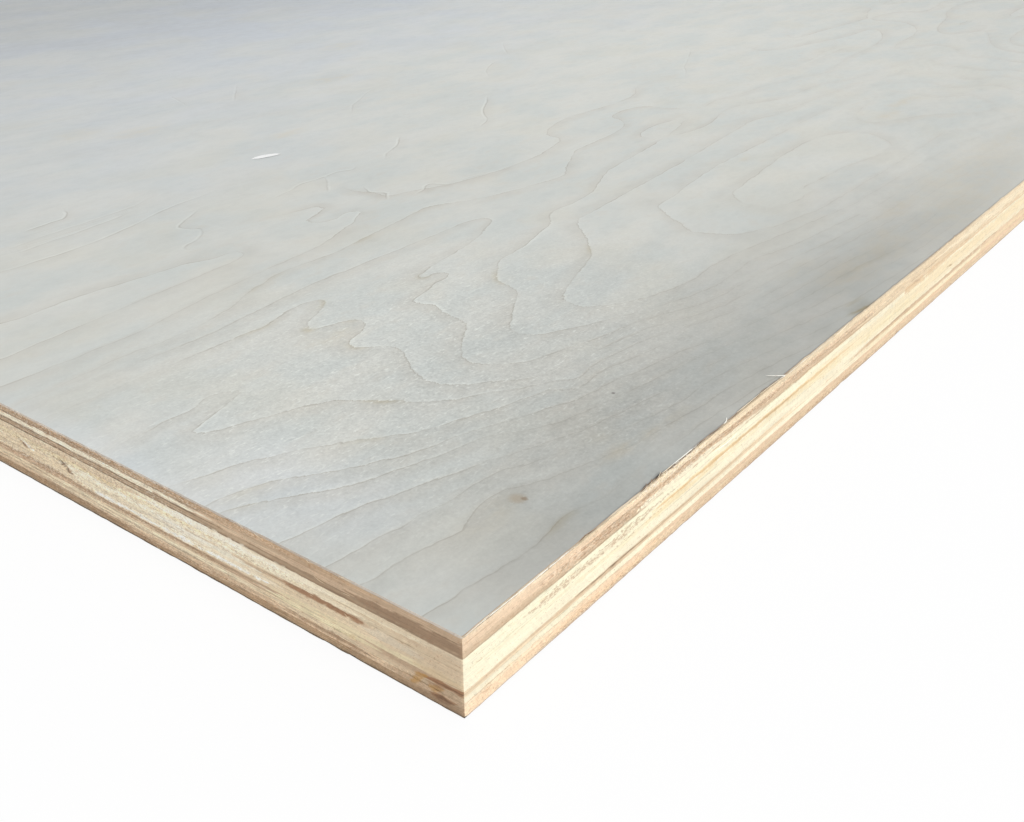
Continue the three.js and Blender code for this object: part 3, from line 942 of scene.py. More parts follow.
print({edge: len(FRAYED[edge]) + len(SPECKLED[edge]) + len(LINED[edge]) for edge in EDGES}, "rough places")

# %% [markdown]
# ## Values for the vertices of an edge
# The streaks end up as one colour at each vertex of a wall, and the rough places as three shares.
# Straight borders would look ruled, so each streak is a little wider and narrower along its way, and
# strays a little up and down. Tufts of torn fibre have the most ragged borders.

# %% Find a streak's share at each place
SOLID, GONE, SOFT = 0.7, 1.08, 0.05  # shares of its half width, and a little more in millimetres
THINNEST = 0.03


def borders_on(run, height, seed):
    """At each place, the share by which streaks are wider and the millimetres by which they stray."""
    wider = 0.16 * ripple(run, height, 6, 1.5, seed) + 0.12 * ripple(run, height, 1.4, 6, seed + 3)
    stray = 0.06 * ripple(run, height, 9, 3, seed + 1) + 0.05 * ripple(run, height, 2.2, 0.8, seed + 2)
    return wider, stray


def streak_share(points, run, height, wider, stray):
    """How much of a streak shows at each place: 1 in its middle, 0 outside. A thin one runs straight."""
    at, middle, half = np.array(points, float).T
    reach = np.interp(run, at, half, left=0, right=0)
    off = np.abs(height - np.interp(run, at, middle) - stray * np.clip(2 * reach, 0, 1))
    reach = reach * (1 + wider)
    return np.where(reach > THINNEST, fall(off, SOLID * reach, GONE * reach + SOFT), 0)


print("a streak's share from its middle outwards:",
      np.round(streak_share([(0, 5, 1), (9, 5, 1)], np.full(5, 4.0), np.linspace(5, 6.2, 5), 0, 0), 2))

# %% Give each vertex of an edge its tone and its wear
RAGGED = {"bright": 3, "fringe": 5}
BROAD_SHADE, FINE_SHADE = 0.035, 0.025
ON_EDGE = 0.01  # a vertex that is nearer than this, in millimetres, is on the edge


def edge_values(node, places):
    """The wood's tone at each vertex, and its wear: speckled, frayed, lined and the share of the
    ply's height."""
    tones = np.tile(np.array(TONES[PLY_TONES[node][0]]), (len(places), 1))
    wear = np.zeros((len(places), 4))
    low, high = places[:, 2].min(), places[:, 2].max()
    wear[:, 3] = (places[:, 2] - low) / (high - low)
    layer = list(PLY_TONES).index(node)
    for number, (edge, (running, fixed, value)) in enumerate(EDGES.items()):
        on = np.abs(places[:, fixed] - value) < ON_EDGE
        run, height = places[on, running], places[on, 2]
        seed = 100 * layer + 10 * number
        colour = np.tile(np.array(TONES[PLY_TONES[node][running]]), (len(run), 1))
        broad, fine = ripple(run, height, 60, 4, seed), ripple(run, height, 12, 1.2, seed + 1)
        shade = 1 + BROAD_SHADE * broad + FINE_SHADE * fine
        colour[:, :3] *= shade[:, None]
        wider, stray = borders_on(run, height, seed + 2)
        for kind, strength, points in STREAKS[edge]:
            ragged = RAGGED.get(kind, 1)
            share = strength * streak_share(points, run, height, wider * ragged, stray)
            colour += (np.array(TONES[kind]) - colour) * share[:, None]
        tones[on] = colour
        for column, places_of in enumerate((SPECKLED, FRAYED, LINED)):
            shares = [strength * streak_share(points, run, height, wider, stray)
                      for strength, points in places_of[edge]]
            wear[on, column] = np.max(shares, axis=0)
    return {"tone": tones, "wear": wear}


corner_wall = np.array([[0.0, 0.0, 0.0], [0.0, 0.0, THICKNESS]])
print("the wear at the near corner, below and above:",
      np.round(edge_values("core_ply_3", corner_wall)["wear"], 2).tolist())

# %% [markdown]
# ## The sawn finish
# Sawn wood has three textures at once: its own fibres, long where the ply is cut along its grain and
# short dots where it is cut across it, the slanting scratches of the saw's teeth, which run on from
# ply to ply, and a thin darker line at each layer of glue. A solid noise stretched along the ply's
# grain gives the fibres on all four edges at once.

# %% Make the noises of sawn wood
def corner_place(tree):
    """Where a point is, in millimetres from the near corner."""
    place = tree.node("ShaderNodeTexCoord", output="Object")
    return tree.times(tree.vector("SUBTRACT", place, tuple(SHEET_LOW)), 1 / MM)


def sawn_noises(tree, place, grain_along, shift):
    """The textures of sawn wood: each is a noise about one half, with swells of the real size."""
    x, y, z = (tree.part(place, index) for index in range(3))
    slanting, level = tree.vector_of(x + y + z * 0.5, 0, z), tree.vector_of(x + y, 0, z)
    fibre_size = (9, 0.4, 0.28) if grain_along else (0.4, 9, 0.28)
    return SimpleNamespace(
        fibres=tree.noise(place, fibre_size, 3, 0.62, shift),
        scratches=tree.noise(slanting, (0.9, 1, 3.5), 3, 0.7),
        grains=tree.noise(place, (0.8, 0.8, 0.3), 2, 0.6, shift + 5),
        tears=tree.noise(place, (0.5, 0.5, 0.26), 3, 0.75, shift + 8),
        tufting=tree.noise(place, (1.3, 1.3, 0.45), 2, 0.6, shift + 33),
        lines=tree.noise(level, (6, 1, 0.2), 3, 0.6, shift + 21),
        glue=tree.noise(place, (25, 25, 1), 1, 0.5, 9))


# %% [markdown]
# Each texture then changes the tone by a share of its own: a share of 0.3 makes the wood up to 15%
# lighter and darker. Where the wood is frayed or lined, the tears and the lines count for far more.
# The same textures, added up in other shares, give the height for the bump.

# %% Make the sawn finish
FIBRE_SHARE, SCRATCH_SHARE, GRAIN_SHARE = 0.34, 0.3, 0.13
TEAR_SHARE, FRAYED_TEARS, FRAYED_TUFTING, LINED_SHARE = 0.1, 2.6, 1.5, 1.6
PORE_SHARE, GLUE_SHARE = 0.14, 0.18
SPECK_TONE, TUFT_TONE = tone(166, 124, 94), tone(250, 240, 222)
SAWN_ROUGHNESS, SAWN_SHINE, SAWN_DEPTH = 0.82, 0.2, 0.12


def sawn_wood(tree, place, grain_along, shift):
    """The colour and the height of sawn wood. Its tone and its wear are at the mesh's vertices."""
    noises = sawn_noises(tree, place, grain_along, shift)
    wear, level = tree.attribute("wear"), tree.attribute("wear", "Alpha")
    speckled, frayed, lined = (tree.part(wear, index) for index in range(3))
    fibres, scratches, grains = noises.fibres - 0.5, noises.scratches - 0.5, noises.grains - 0.5
    tears, tufting, lines = noises.tears - 0.48, noises.tufting - 0.48, noises.lines - 0.5
    pores = tree.smooth(noises.fibres, 0.38, 0.27)
    specks = tree.smooth(noises.grains + speckled * 0.17, 0.64, 0.74)
    tufts = tree.smooth(noises.grains - frayed * 0.10, 0.40, 0.33) * tree.smooth(frayed, 0.3, 0.8)
    glue = tree.smooth(tree.math("ABSOLUTE", level - 0.5), 0.42, 0.5)
    glue = glue * tree.smooth(noises.glue, 0.4, 0.65)

    colour = tree.attribute("tone", "Color")
    even = fibres * FIBRE_SHARE + scratches * SCRATCH_SHARE + grains * GRAIN_SHARE
    rough = tears * (TEAR_SHARE + frayed * FRAYED_TEARS) + lines * lined * LINED_SHARE
    for share in (even, rough, tufting * frayed * FRAYED_TUFTING):
        colour = tree.times(colour, 1 + share)
    colour = tree.times(colour, 1 - pores * PORE_SHARE)
    colour = tree.mix(specks * 0.5, colour, SPECK_TONE)
    colour = tree.mix(tufts * 0.6, colour, TUFT_TONE)
    colour = tree.vector("MINIMUM", tree.times(colour, 1 - glue * GLUE_SHARE), WHITE[:3])
    height = noises.fibres * 0.6 + noises.scratches * 0.4 - specks * 0.3 + tufts * 0.3
    return colour, height + noises.tears * frayed + noises.lines * lined


def bumped(tree, height, depth, strength=0.6):
    """A normal for a surface whose height of 1 is depth millimetres."""
    inputs = {"Strength": strength, "Distance": depth * MM, "Height": height}
    return tree.node("ShaderNodeBump", None, inputs, "Normal")


def sawn_finish(name, grain_along, shift):
    """Sawn wood. The shift moves its noises, so that no two plies are alike."""
    tree = Tree(bpy.data.materials.new(name))
    colour, height = sawn_wood(tree, corner_place(tree), grain_along, shift)
    tree.give("Principled BSDF", {
        "Base Color": colour, "Roughness": SAWN_ROUGHNESS, "Specular IOR Level": SAWN_SHINE,
        "Normal": bumped(tree, height, SAWN_DEPTH)})
    return tree.owner


swing = round(50 * (FIBRE_SHARE + SCRATCH_SHARE + GRAIN_SHARE))
print(f"even sawn wood is up to {swing}% lighter and darker than its tone")

# %% [markdown]
# ## The wear on the wall
# The saw leaves each ply's wall a few hundredths of a millimetre uneven, the plies don't end quite
# flush, and all arrises are a little rounded. Here and there a chip is missing. A bump map would
# shade all that, but the arrises would stay ruler straight, so the vertices of the wall are pushed
# in. A chip is a soft oval hollow, given by its edge, place, size and depth.

# %% Place the chips
CHIPS = [  # the edge, the run and the height of the middle, half the length and the height, the depth
    ("left", 114.0, 8.9, 1.1, 0.9, 0.8), ("left", 131.8, 9.4, 0.9, 0.7, 0.6),
    ("front", 46, 5.5, 5.0, 0.3, 0.35), ("left", 5.5, 2.2, 2.2, 0.6, 0.25),
    ("front", 239, 8.3, 2.2, 0.5, 0.3), ("front", 0, 0, 1.2, 0.6, 0.25),
    ("left", 30, 9.5, 9.0, 0.5, 0.2), ("front", 48, 14.2, 4.0, 0.6, 0.2)]


def chip_on_an_arris():
    """The height of a random chip, half its length, half its height and its depth."""
    level = random.choice([0.0, 17.4])
    return level, random.uniform(0.8, 2.5), 0.5, random.uniform(0.15, 0.4)


for run in random.uniform(20, LENGTH, 90):
    CHIPS.append(("front", run, *chip_on_an_arris()))
for run in random.uniform(12, WIDTH, 50):
    CHIPS.append(("left", run, *chip_on_an_arris()))
print(len(CHIPS), "chips")

# %% Push the wall in
SAW_DEPTH, SAW_UNEVEN = 0.05, 0.03
ARRIS_REACH, LOW_ARRIS, HIGH_ARRIS = 0.2, 0.08, 0.10
CORNER_REACH, CORNER_DEPTH = 0.6, 0.12
CHIP_FLAT = 0.2  # the share of a chip that is flat


def wall_depth(node, places):
    """How far each vertex of the wall is pushed in, in millimetres."""
    layer = list(PLY_TONES).index(node)
    run, height = places[:, 0] + places[:, 1], places[:, 2]
    rough, wavy = ripple(run, height, 2.5, 0.9, layer), ripple(run, height, 40, 9, layer + 20)
    depth = np.maximum(SAW_DEPTH + SAW_UNEVEN * rough + SAW_UNEVEN * wavy, 0)
    depth = depth + LOW_ARRIS * fall(height, 0, ARRIS_REACH)
    depth = depth + HIGH_ARRIS * fall(THICKNESS - height, 0, ARRIS_REACH)
    for edge, middle, level, half_run, half_height, deep in CHIPS:
        running, fixed, value = EDGES[edge]
        off = np.hypot((places[:, running] - middle) / half_run, (height - level) / half_height)
        depth += deep * fall(off, CHIP_FLAT, 1) * (np.abs(places[:, fixed] - value) < ON_EDGE)
    corner = np.minimum(places[:, 0], LENGTH - places[:, 0]) + np.minimum(places[:, 1], WIDTH - places[:, 1])
    return depth + CORNER_DEPTH * fall(corner, 0, CORNER_REACH)


wall_places = np.stack([np.linspace(20, 220, 5), np.zeros(5), np.full(5, THICKNESS / 2)], -1)
print("the wall is pushed in by", np.round(wall_depth("core_ply_3", wall_places), 2), "mm")

# %% [markdown]
# ## The inner plies
# The eleven plies between the two veneers are all made in the same way, so one loop makes them. The
# core plies run with their grain along the sheet, and the crossbands across it. Each piece stands in
# for its own solid, which is hidden.

# %% Make the inner plies
triangles = 0
for number, node in enumerate(list(PLY_TONES)[1:-1]):
    places, faces, inward = ply_mesh(node, SAWN_STATIONS, SAWN_ROWS)
    values = edge_values(node, places)
    places += inward * wall_depth(node, places)[:, None]
    finish = sawn_finish(node + "_sawn", node.startswith("core"), 5.3 * number)
    piece = add_piece(node + "_sawn", places, faces, finish, values)
    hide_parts(node)
    triangles += sum(len(face) - 2 for face in faces)
print(number + 1, "inner plies,", triangles, "triangles")

# %% [markdown]
# ## The values of a sanded side
# The sanded sides get their figure from values at their vertices: the ring number with its slope, the
# stains with their painted light, what the sanding left, and the lone marks. An image could hold the
# same, but values keep their place in millimetres, and the shader draws finer detail from them than
# the mesh has.

# %% Read the values of a sanded side
SIDE_VALUES = {
    "growth": ("number", "slope", "along"),
    # Of the stains, the grey also carries painted shade and painted light, and the third is a painted cool
    # sheen.
    "stains": ("amber", "grey", "blue", "faint"),
    "touch": ("crested", "rubbed", "tanned", "glowing"),
    "marks": ("away", "marked", "broadly"),
}


def side_values(tree):
    """The values at a point of a sanded side, by name. A fourth value is in the alpha."""
    found = {}
    for attribute, names in SIDE_VALUES.items():
        for index, name in enumerate(names[:3]):
            found[name] = tree.part(tree.attribute(attribute), index)
        for name in names[3:]:
            found[name] = tree.attribute(attribute, "Alpha")
    return SimpleNamespace(**found)


print(sum(len(names) for names in SIDE_VALUES.values()), "values at each vertex of a sanded side")

# %% [markdown]
# ## Growth rings
# Sanded maple-like veneer is nearly one colour. A growth ring shows as a hair-fine dark line with a
# pale side, where the next ring's early wood starts, and a soft brownish side that fades over a few
# millimetres. The distance to the line is the fraction of the ring number divided by its slope, so
# the line keeps its thickness however steep the rings are. Where a line crosses the fibres it frays
# along them, so the number is first slipped a little along the grain. A wave texture would draw
# rings too, but rings that are all alike. Far from the corner a hair-fine line is too thin to see,
# and there a broad soft band beside each line carries the figure.

# %% Draw the rings
FRAY, STRAY = 2.0, 1.6  # millimetres by which a line slips along the grain, and wanders
LEAST_SLOPE, FULL_SLOPE = 0.006, 0.022  # ring numbers in a millimetre: no line, and a full line
LINE_WIDTH, CREST_WIDTH = 0.55, 1.3
SHADE_WIDTH, GLOW_WIDTH, FIGURE_WIDTH = 8.0, 9.0, 18.0


def ring_shares(tree, place, at, shift):
    """How much of a ring's line, shade, crest, glow and broad figure shows, and where the line is."""
    slip = (tree.noise(place, (12, 0.6, 4), 2, 0.6, shift) - 0.5) * FRAY
    wander = (tree.noise(place, (5, 2.5, 4), 2, 0.5, shift + 3) - 0.5) * STRAY
    patchy = tree.smooth(tree.noise(place, (9, 6, 4), 2, 0.5, shift + 45), 0.3, 0.7)
    strength = tree.smooth(tree.noise(place, (14, 8, 4), 2, 0.5, shift + 7), 0.3, 0.62)
    steep = tree.smooth(at.slope, LEAST_SLOPE, FULL_SLOPE)
    slope = tree.math("MAXIMUM", at.slope, 0.02)
    fraction = tree.math("FRACT", at.number + at.along * slip + slope * wander)
    past, before = fraction / slope, (1 - fraction) / slope

    crisp = (1 - at.faint) * steep
    line = tree.smooth(past, LINE_WIDTH, 0.0) * (0.25 + strength * 0.75) * crisp
    shade = tree.smooth(past, SHADE_WIDTH, 0.0) + tree.smooth(before, 0.05 + at.faint * 4.0, 0.0)
    shade = shade * (0.35 + strength * 0.65) * steep * (1 - at.faint * at.faint * 0.8)
    crest = tree.smooth(before, CREST_WIDTH, 0.0) * (0.15 + at.crested * 0.85)
    glow = tree.smooth(before, GLOW_WIDTH, 0.5) * (0.2 + at.crested * 0.5) * strength * crisp
    return SimpleNamespace(
        past=past, before=before, strength=strength, wander=wander, line=line, shade=shade,
        crest=crest * (0.4 + strength * 0.6) * crisp,
        glow=tree.math("MAXIMUM", glow, at.glowing * patchy),
        figure=tree.smooth(past, FIGURE_WIDTH, 0.0) * (0.45 + strength * 0.55) * steep * at.broadly)


print("a ring's line is", LINE_WIDTH, "mm wide, and its shade", SHADE_WIDTH, "mm")

# %% Draw the lone marks between them
MARK_WIDTH, MARK_SHADE = 0.5, 6.0


def mark_shares(tree, at, rings):
    """How much of a lone mark's line, crest and shade shows. It frays and fades as the rings do."""
    beside = at.away + rings.wander * 0.6
    marked = at.marked * (0.3 + rings.strength * 0.7)
    one_side = tree.smooth(beside, -MARK_SHADE, -0.2) * tree.smooth(beside, 0.2, -0.2)
    return SimpleNamespace(
        line=tree.smooth(tree.math("ABSOLUTE", beside), MARK_WIDTH, 0.0) * marked,
        crest=tree.smooth(tree.math("ABSOLUTE", beside - 0.8), 0.7, 0.0) * marked,
        shade=one_side * marked)


print("a mark's line is", MARK_WIDTH, "mm wide, and its shade", MARK_SHADE, "mm")

# %% [markdown]
# ## The colour of sanded wood
# Under the rings the wood is clouded: patches of slightly cooler, warmer and darker wood at three
# sizes, all within a few tones of each other. Over it come the stains, a painted cool sheen of the
# sky, and the rings, each as a mix from one hue to the next, with the hair-fine lines last. The
# sanding's fleck and the grain then change the brightness alone, and so do the grey stains with the
# painted shade and painted light that they carry.

# %% Colour the sanded wood
def stained_wood(tree, place, at, hues, shift):
    """The colour of the wood under its rings, and the noises that the later steps use again."""
    clouds = tree.noise(place, (40, 18, 10), 2, 0.55, shift + 11)
    warmth = tree.noise(place, (30, 24, 10), 1, 0.5, shift + 23)
    drift = tree.noise(place, (52, 46, 10), 2, 0.5, shift + 51)
    mottle = tree.noise(place, (7, 4, 4), 2, 0.5, shift + 29)
    streaks = tree.noise(place, (12, 1.0, 4), 3, 0.6, shift + 13)
    colour = tree.mix(tree.smooth(clouds, 0.36, 0.64), hues["cool"], hues["ground"])
    colour = tree.mix(tree.smooth(warmth, 0.48, 0.68) * 0.5, colour, hues["warm"])
    colour = tree.mix(tree.smooth(mottle, 0.52, 0.74) * 0.35, colour, hues["shade"])
    # Painted sheen: a cool cast of the sky mixed into the colour where the stains say.
    colour = tree.mix(at.blue * (0.7 + tree.smooth(drift, 0.36, 0.64) * 0.6), colour, hues["blue"])
    tanned = at.tanned * (0.25 + tree.smooth(mottle + streaks * 0.5, 0.55, 0.95) * 0.65)
    return tree.mix(tanned, colour, hues["tan"]), clouds, mottle, streaks


def ringed_wood(tree, colour, at, hues, rings, marks, grain):
    """The colour with its rings, its marks and the amber beside them."""
    colour = tree.mix(rings.figure * 0.36, colour, hues["figure"])
    colour = tree.mix(rings.glow * 0.5, colour, hues["glow"])
    colour = tree.mix(rings.shade * 0.5 + marks.shade * 0.35, colour, hues["shade"])
    colour = tree.mix(rings.crest * 0.7 + marks.crest * 0.35, colour, hues["crest"])
    colour = tree.mix(rings.line * 0.5 + marks.line * 0.4, colour, hues["line"])
    stained = tree.smooth(rings.past, 2.2, 0.4) * 0.7 + tree.smooth(rings.before, 0.8, 0.0) * 0.4
    return tree.mix(at.amber * (0.12 + stained) * (0.6 + grain * 0.4) * 0.8, colour, hues["amber"])


def with_pin_holes(tree, colour, place, grain, holes):
    """The colour with pin holes and their dark surrounds, each a soft round spot."""
    for at_x, at_y, radius, share, hue in holes:
        middle = at_x, at_y, THICKNESS
        reach = tree.node("ShaderNodeVectorMath", {"operation": "DISTANCE"}, {0: place, 1: middle}, "Value")
        colour = tree.mix(tree.smooth(reach + grain - 0.5, radius * 1.3, radius * 0.4) * share, colour, hue)
    return colour


# %% [markdown]
# ## The sanded finish
# The finish puts these together. A veneer's own thin wall is sawn, so the same material changes over
# to sawn wood where the surface turns from facing up to facing sideways. Two materials would need
# the mesh cut along the arris, and would show a seam there.

# %% Make the sanded finish
SANDED_ROUGHNESS, RIM_ROUGHNESS = 0.5, 0.3
SANDED_SHINE, SANDED_DEPTH, SANDED_BUMP = 0.35, 0.04, 0.4
GREY_AND_PAINTED_LIGHT_SHARE, MOTTLE_SHARE, CLOUD_SHARE = 0.3, 0.16, 0.12


def sanded_finish(name, hues, grain_along, shift):
    """Sanded rotary-cut veneer. Its rings, its stains with their painted light, and its sawn rim are at the
    mesh's vertices.
    """
    tree = Tree(bpy.data.materials.new(name))
    place, at = corner_place(tree), side_values(tree)
    grain = tree.noise(place, (0.9, 0.9, 1), 3, 0.7, shift + 17)
    lumps = tree.noise(place, (2.6, 2.0, 2), 2, 0.6, shift + 41)
    fleck = tree.smooth(tree.noise(place, (2.0, 0.6, 2), 2, 0.6, shift + 19), 0.58, 0.7) * at.rubbed

    rings = ring_shares(tree, place, at, shift)
    marks = mark_shares(tree, at, rings)
    colour, clouds, mottle, streaks = stained_wood(tree, place, at, hues, shift)
    colour = ringed_wood(tree, colour, at, hues, rings, marks, grain)
    colour = tree.mix(fleck * 0.65, colour, hues["crest"])
    texture = (grain - 0.5) * (0.11 + at.rubbed * 0.48) + (lumps - 0.5) * (0.06 + at.rubbed * 0.20)
    broad = (streaks - 0.5) * (0.04 + at.rubbed * 0.04)
    broad = broad + (mottle - 0.5) * MOTTLE_SHARE + (clouds - 0.5) * CLOUD_SHARE
    # The grey darkens greyer wood, and also where it stands for painted shade; below 0 it lightens the face
    # as painted light.
    colour = tree.times(colour, 1 + texture + broad - at.grey * GREY_AND_PAINTED_LIGHT_SHARE)
    colour = with_pin_holes(tree, colour, place, grain, hues["pin holes"])

    sawn, _ = sawn_wood(tree, place, grain_along, shift)
    facing = tree.part(tree.node("ShaderNodeTexCoord", output="Normal"), 2)
    rim = tree.smooth(tree.math("ABSOLUTE", facing), 0.75, 0.45)
    height = streaks * 0.4 + grain * 0.4 * at.rubbed + lumps * 0.3 - rings.line * 0.4 - marks.line * 0.4
    tree.give("Principled BSDF", {
        "Base Color": tree.mix(rim, colour, sawn), "Specular IOR Level": SANDED_SHINE,
        "Roughness": SANDED_ROUGHNESS + (grain - 0.5) * 0.15 + rim * RIM_ROUGHNESS,
        "Normal": bumped(tree, height, SANDED_DEPTH, SANDED_BUMP)})
    return tree.owner


# %% Name the hues of both broad sides
FACE_HUES = {"ground": tone(208, 209, 203), "cool": tone(203, 207, 203), "warm": tone(208, 207, 197),
             "shade": tone(195, 192, 183), "crest": tone(230, 233, 227), "line": tone(146, 139, 126),
             # the hue of the painted sheen, a cool cast of the sky
             "amber": tone(176, 165, 134), "blue": tone(195, 201, 207),
             "glow": tone(210, 216, 214), "tan": tone(200, 195, 180), "figure": tone(182, 172, 152),
             "pin holes": [(38.8, 18.0, 1.9, 0.7, tone(166, 154, 136)),
                           (39.6, 16.9, 0.8, 0.7, tone(132, 114, 92)),
                           (87.6, 27.4, 0.45, 0.9, tone(112, 108, 104))]}
BACK_HUES = {"ground": tone(216, 205, 184), "cool": tone(208, 198, 180), "warm": tone(220, 204, 176),
             "shade": tone(192, 172, 144), "crest": tone(228, 219, 200), "line": tone(140, 116, 90),
             "amber": tone(160, 128, 92), "blue": tone(206, 198, 182),
             "glow": tone(232, 222, 200), "tan": tone(196, 174, 142),
             "figure": tone(180, 152, 118), "pin holes": []}
print(len(FACE_HUES) - 1, "hues on each broad side,", len(FACE_HUES["pin holes"]), "pin holes")

# %% [markdown]
# ## Stains and sanding marks
# A sanded face isn't even. Sap leaves amber beside some rings, the face is darker along the front
# edge, and the belt has rubbed some places to a fleck and left others faint. Light is painted in too:
# painted shade over the back half of the face, a painted pool of light in the near half, painted
# shade in two notches of the arris, and a painted cool sheen of the sky. Each of these is a soft
# oval: its middle, half its length, half its width and its strength. Painting them as an image would
# be quick, but ovals keep their place in millimetres and take next to no space. The first table is
# for the stains and this painted light, and the second for what the sanding left: rings with a pale
# crest, flecked wood, warmer wood and wood that glows beside a ring.

# %% Place the stains and the painted light
STAINS_AND_PAINTED_LIGHT = {
    "amber": [(169.5, 1.8, 10, 4.4, 2.2), (201, 14, 20, 5, 0.4), (84.6, 119.5, 8, 4, 0.8),
              (69.5, 109.8, 5, 3, 1.0), (63, 120.5, 11, 3.5, 0.5), (129, 145.3, 9, 4, 0.6),
              (82, 141.8, 8, 3, 0.4), (92, 144, 8, 3, 0.4), (115.5, 110.5, 5, 3, 0.6),
              (128, 93, 8, 10, 0.7), (162, 84.4, 7, 5, 0.6), (53.5, 67.5, 8, 8, 0.8), (70, 92.8, 5, 5, 0.6),
              (160, 149, 12, 3, 0.3), (37, 6.5, 8, 4, 0.7), (8, 61, 9, 5, 0.6), (36, 57, 9, 6, 0.5),
              (80, 104, 4, 3, 0.5), (146, 112, 10, 4, 0.5)],
    # Grey: near the corner these make the face greyer or lighter in places, with smudges among them and a
    # darker band along the front edge. The two strong ones on the arris at 57 and 62 mm are painted shade in
    # notches. The broad ones far out are painted shade over the back half, strongest at its left end, and
    # the broad ones below 0 are painted light, a pool of it in the near half.
    "grey": [(189, 14.4, 9, 2.6, 0.2), (211, 12, 12, 3.0, 0.2), (224, 10, 8, 2, 0.12),
             (120, 5, 210, 75, 0.6), (130, 12, 260, 36, 0.37), (150, 240, 170, 90, -0.07),
             (270, 190, 120, 40, -0.05), (46, 62, 30, 26, 0.07), (62, 108, 16, 12, 0.06),
             (14, 36, 14, 12, -0.07), (39, 19, 9, 6, 0.3), (112, 58, 110, 50, 0.22),
             (330, 4, 260, 60, 0.24), (36, 4, 38, 20, 0.36), (300, 680, 900, 320, 0.6),
             (1400, 730, 1000, 320, 0.25), (2250, 640, 800, 280, 0.15), (520, 330, 520, 260, -0.36),
             (470, 170, 320, 170, -0.12), (1500, 300, 900, 240, -0.2), (700, 1100, 900, 200, -0.2),
             (2000, 1080, 900, 200, -0.2), (62.4, 0.1, 2.0, 0.9, 2.2), (57, 0.1, 1.6, 0.7, 1.6),
             (15, 60, 40, 30, -0.1), (230, 48, 90, 32, 0.22), (400, 60, 120, 30, 0.14),
             (0, 95, 7, 60, -0.25), (170, 2, 9, 4, 0.25), (60, 30, 40, 22, 0.14), (4, 4, 14, 12, -0.2),
             (14, 75, 24, 30, -0.14)],
    # These are a painted sheen: a cool, slightly darker cast of the sky, broadest over the back half at the
    # left.
    "blue": [(300, 700, 1300, 560, 0.6), (150, 330, 170, 200, 0.25), (0, 95, 9, 70, 0.3),
             (420, 460, 360, 240, 0.4), (14, 60, 26, 60, 0.35)],
    "faint": [(450, 0, 500, 120, 1.0), (60, 18, 80, 30, 0.5), (150, 20, 130, 55, 0.55),
              (66, 3, 34, 10, 1.0), (10, 128, 45, 22, 0.9), (0, 100, 22, 40, 0.8), (60, 150, 90, 30, 0.5),
              (430, 140, 160, 60, 0.8), (700, 420, 1300, 330, 0.95), (0, 420, 600, 260, 0.95),
              (900, 200, 500, 200, 0.9), (450, 95, 230, 75, 0.9)],
}
print({kind: len(spots) for kind, spots in STAINS_AND_PAINTED_LIGHT.items()}, "ovals")

# %% Place what the sanding left
TOUCH = {
    "crested": [(72, 108, 10, 7, 1.0), (72, 92, 10, 10, 1.0), (101, 95, 9, 10, 1.0), (22, 92, 15, 8, 0.8),
                (127, 94, 10, 9, 0.8), (158, 108, 24, 10, 0.8), (72, 62, 16, 18, 0.6),
                (92, 60, 18, 14, 0.5), (130, 60, 24, 18, 0.3), (142, 166, 12, 8, 1.0),
                (30, 158, 40, 8, 0.6), (36, 40, 60, 30, 0.45)],
    "rubbed": [(75, 72, 135, 92, 1.0), (78, 22, 52, 24, 0.7)],
    "tanned": [(67, 12.2, 10, 3, 1.0), (76, 11.2, 9, 2.5, 0.9), (86, 10.2, 9, 2.5, 1.0),
               (69, 18, 5, 3, 0.6), (31, 19, 14, 6, 0.8), (199, 15, 22, 6, 1.0), (184, 26, 16, 6, 0.7),
               (255, 24, 24, 8, 1.0), (228, 19, 16, 5, 0.8), (284, 318, 22, 10, 0.7),
               (166, 311, 22, 9, 0.7), (150, 328, 14, 10, 0.6), (200, 259, 18, 6, 0.6),
               (345, 373, 30, 12, 0.6), (398, 77, 24, 5, 0.7), (72, 102, 14, 9, 0.6), (297, 7, 20, 5, 0.7),
               (358, 22, 40, 8, 0.6), (300, 20, 90, 20, 0.6), (191, 14, 30, 12, 1.0),
               (216, 13, 26, 10, 1.0), (275, 8, 80, 18, 0.8), (372, 74, 16, 5, 0.7), (278, 92, 10, 5, 0.5)],
    "glowing": [(69, 56, 14, 8, 0.9), (38, 36, 18, 7, 0.9), (12, 35, 14, 10, 0.7), (45, 13.5, 10, 4, 0.7),
                (92, 120, 9, 6, 0.8), (88, 103, 9, 7, 0.8), (43, 97, 9, 6, 0.8), (125, 103, 14, 8, 0.6)],
}
print({kind: len(spots) for kind, spots in TOUCH.items()}, "ovals")

# %% Read the stains, the painted light and the sanding at each place
LINES_END = 176, 192  # across the sheet, past which the rings near the corner are faint
ARRIS_SHADOW_IN, ARRIS_SHADOW_ALONG = (0.1, 0.65), (34, 44)  # the painted shadow of the torn arris ends and begins between these
FAR_FAINT, FAR_CRESTED = 0.3, 0.4
SPOT_UNEVEN, GREY_BANDS, WARM_BANDS = 0.05, 0.09, 0.16


def spots_at(spots, x, y, uneven):
    """The shares of soft oval spots at each place, one row for each spot."""
    return np.array([strength * fall(np.hypot((x - at_x) / long, (y - at_y) / wide) * uneven, 0.1, 1.0)
                     for at_x, at_y, long, wide, strength in spots])


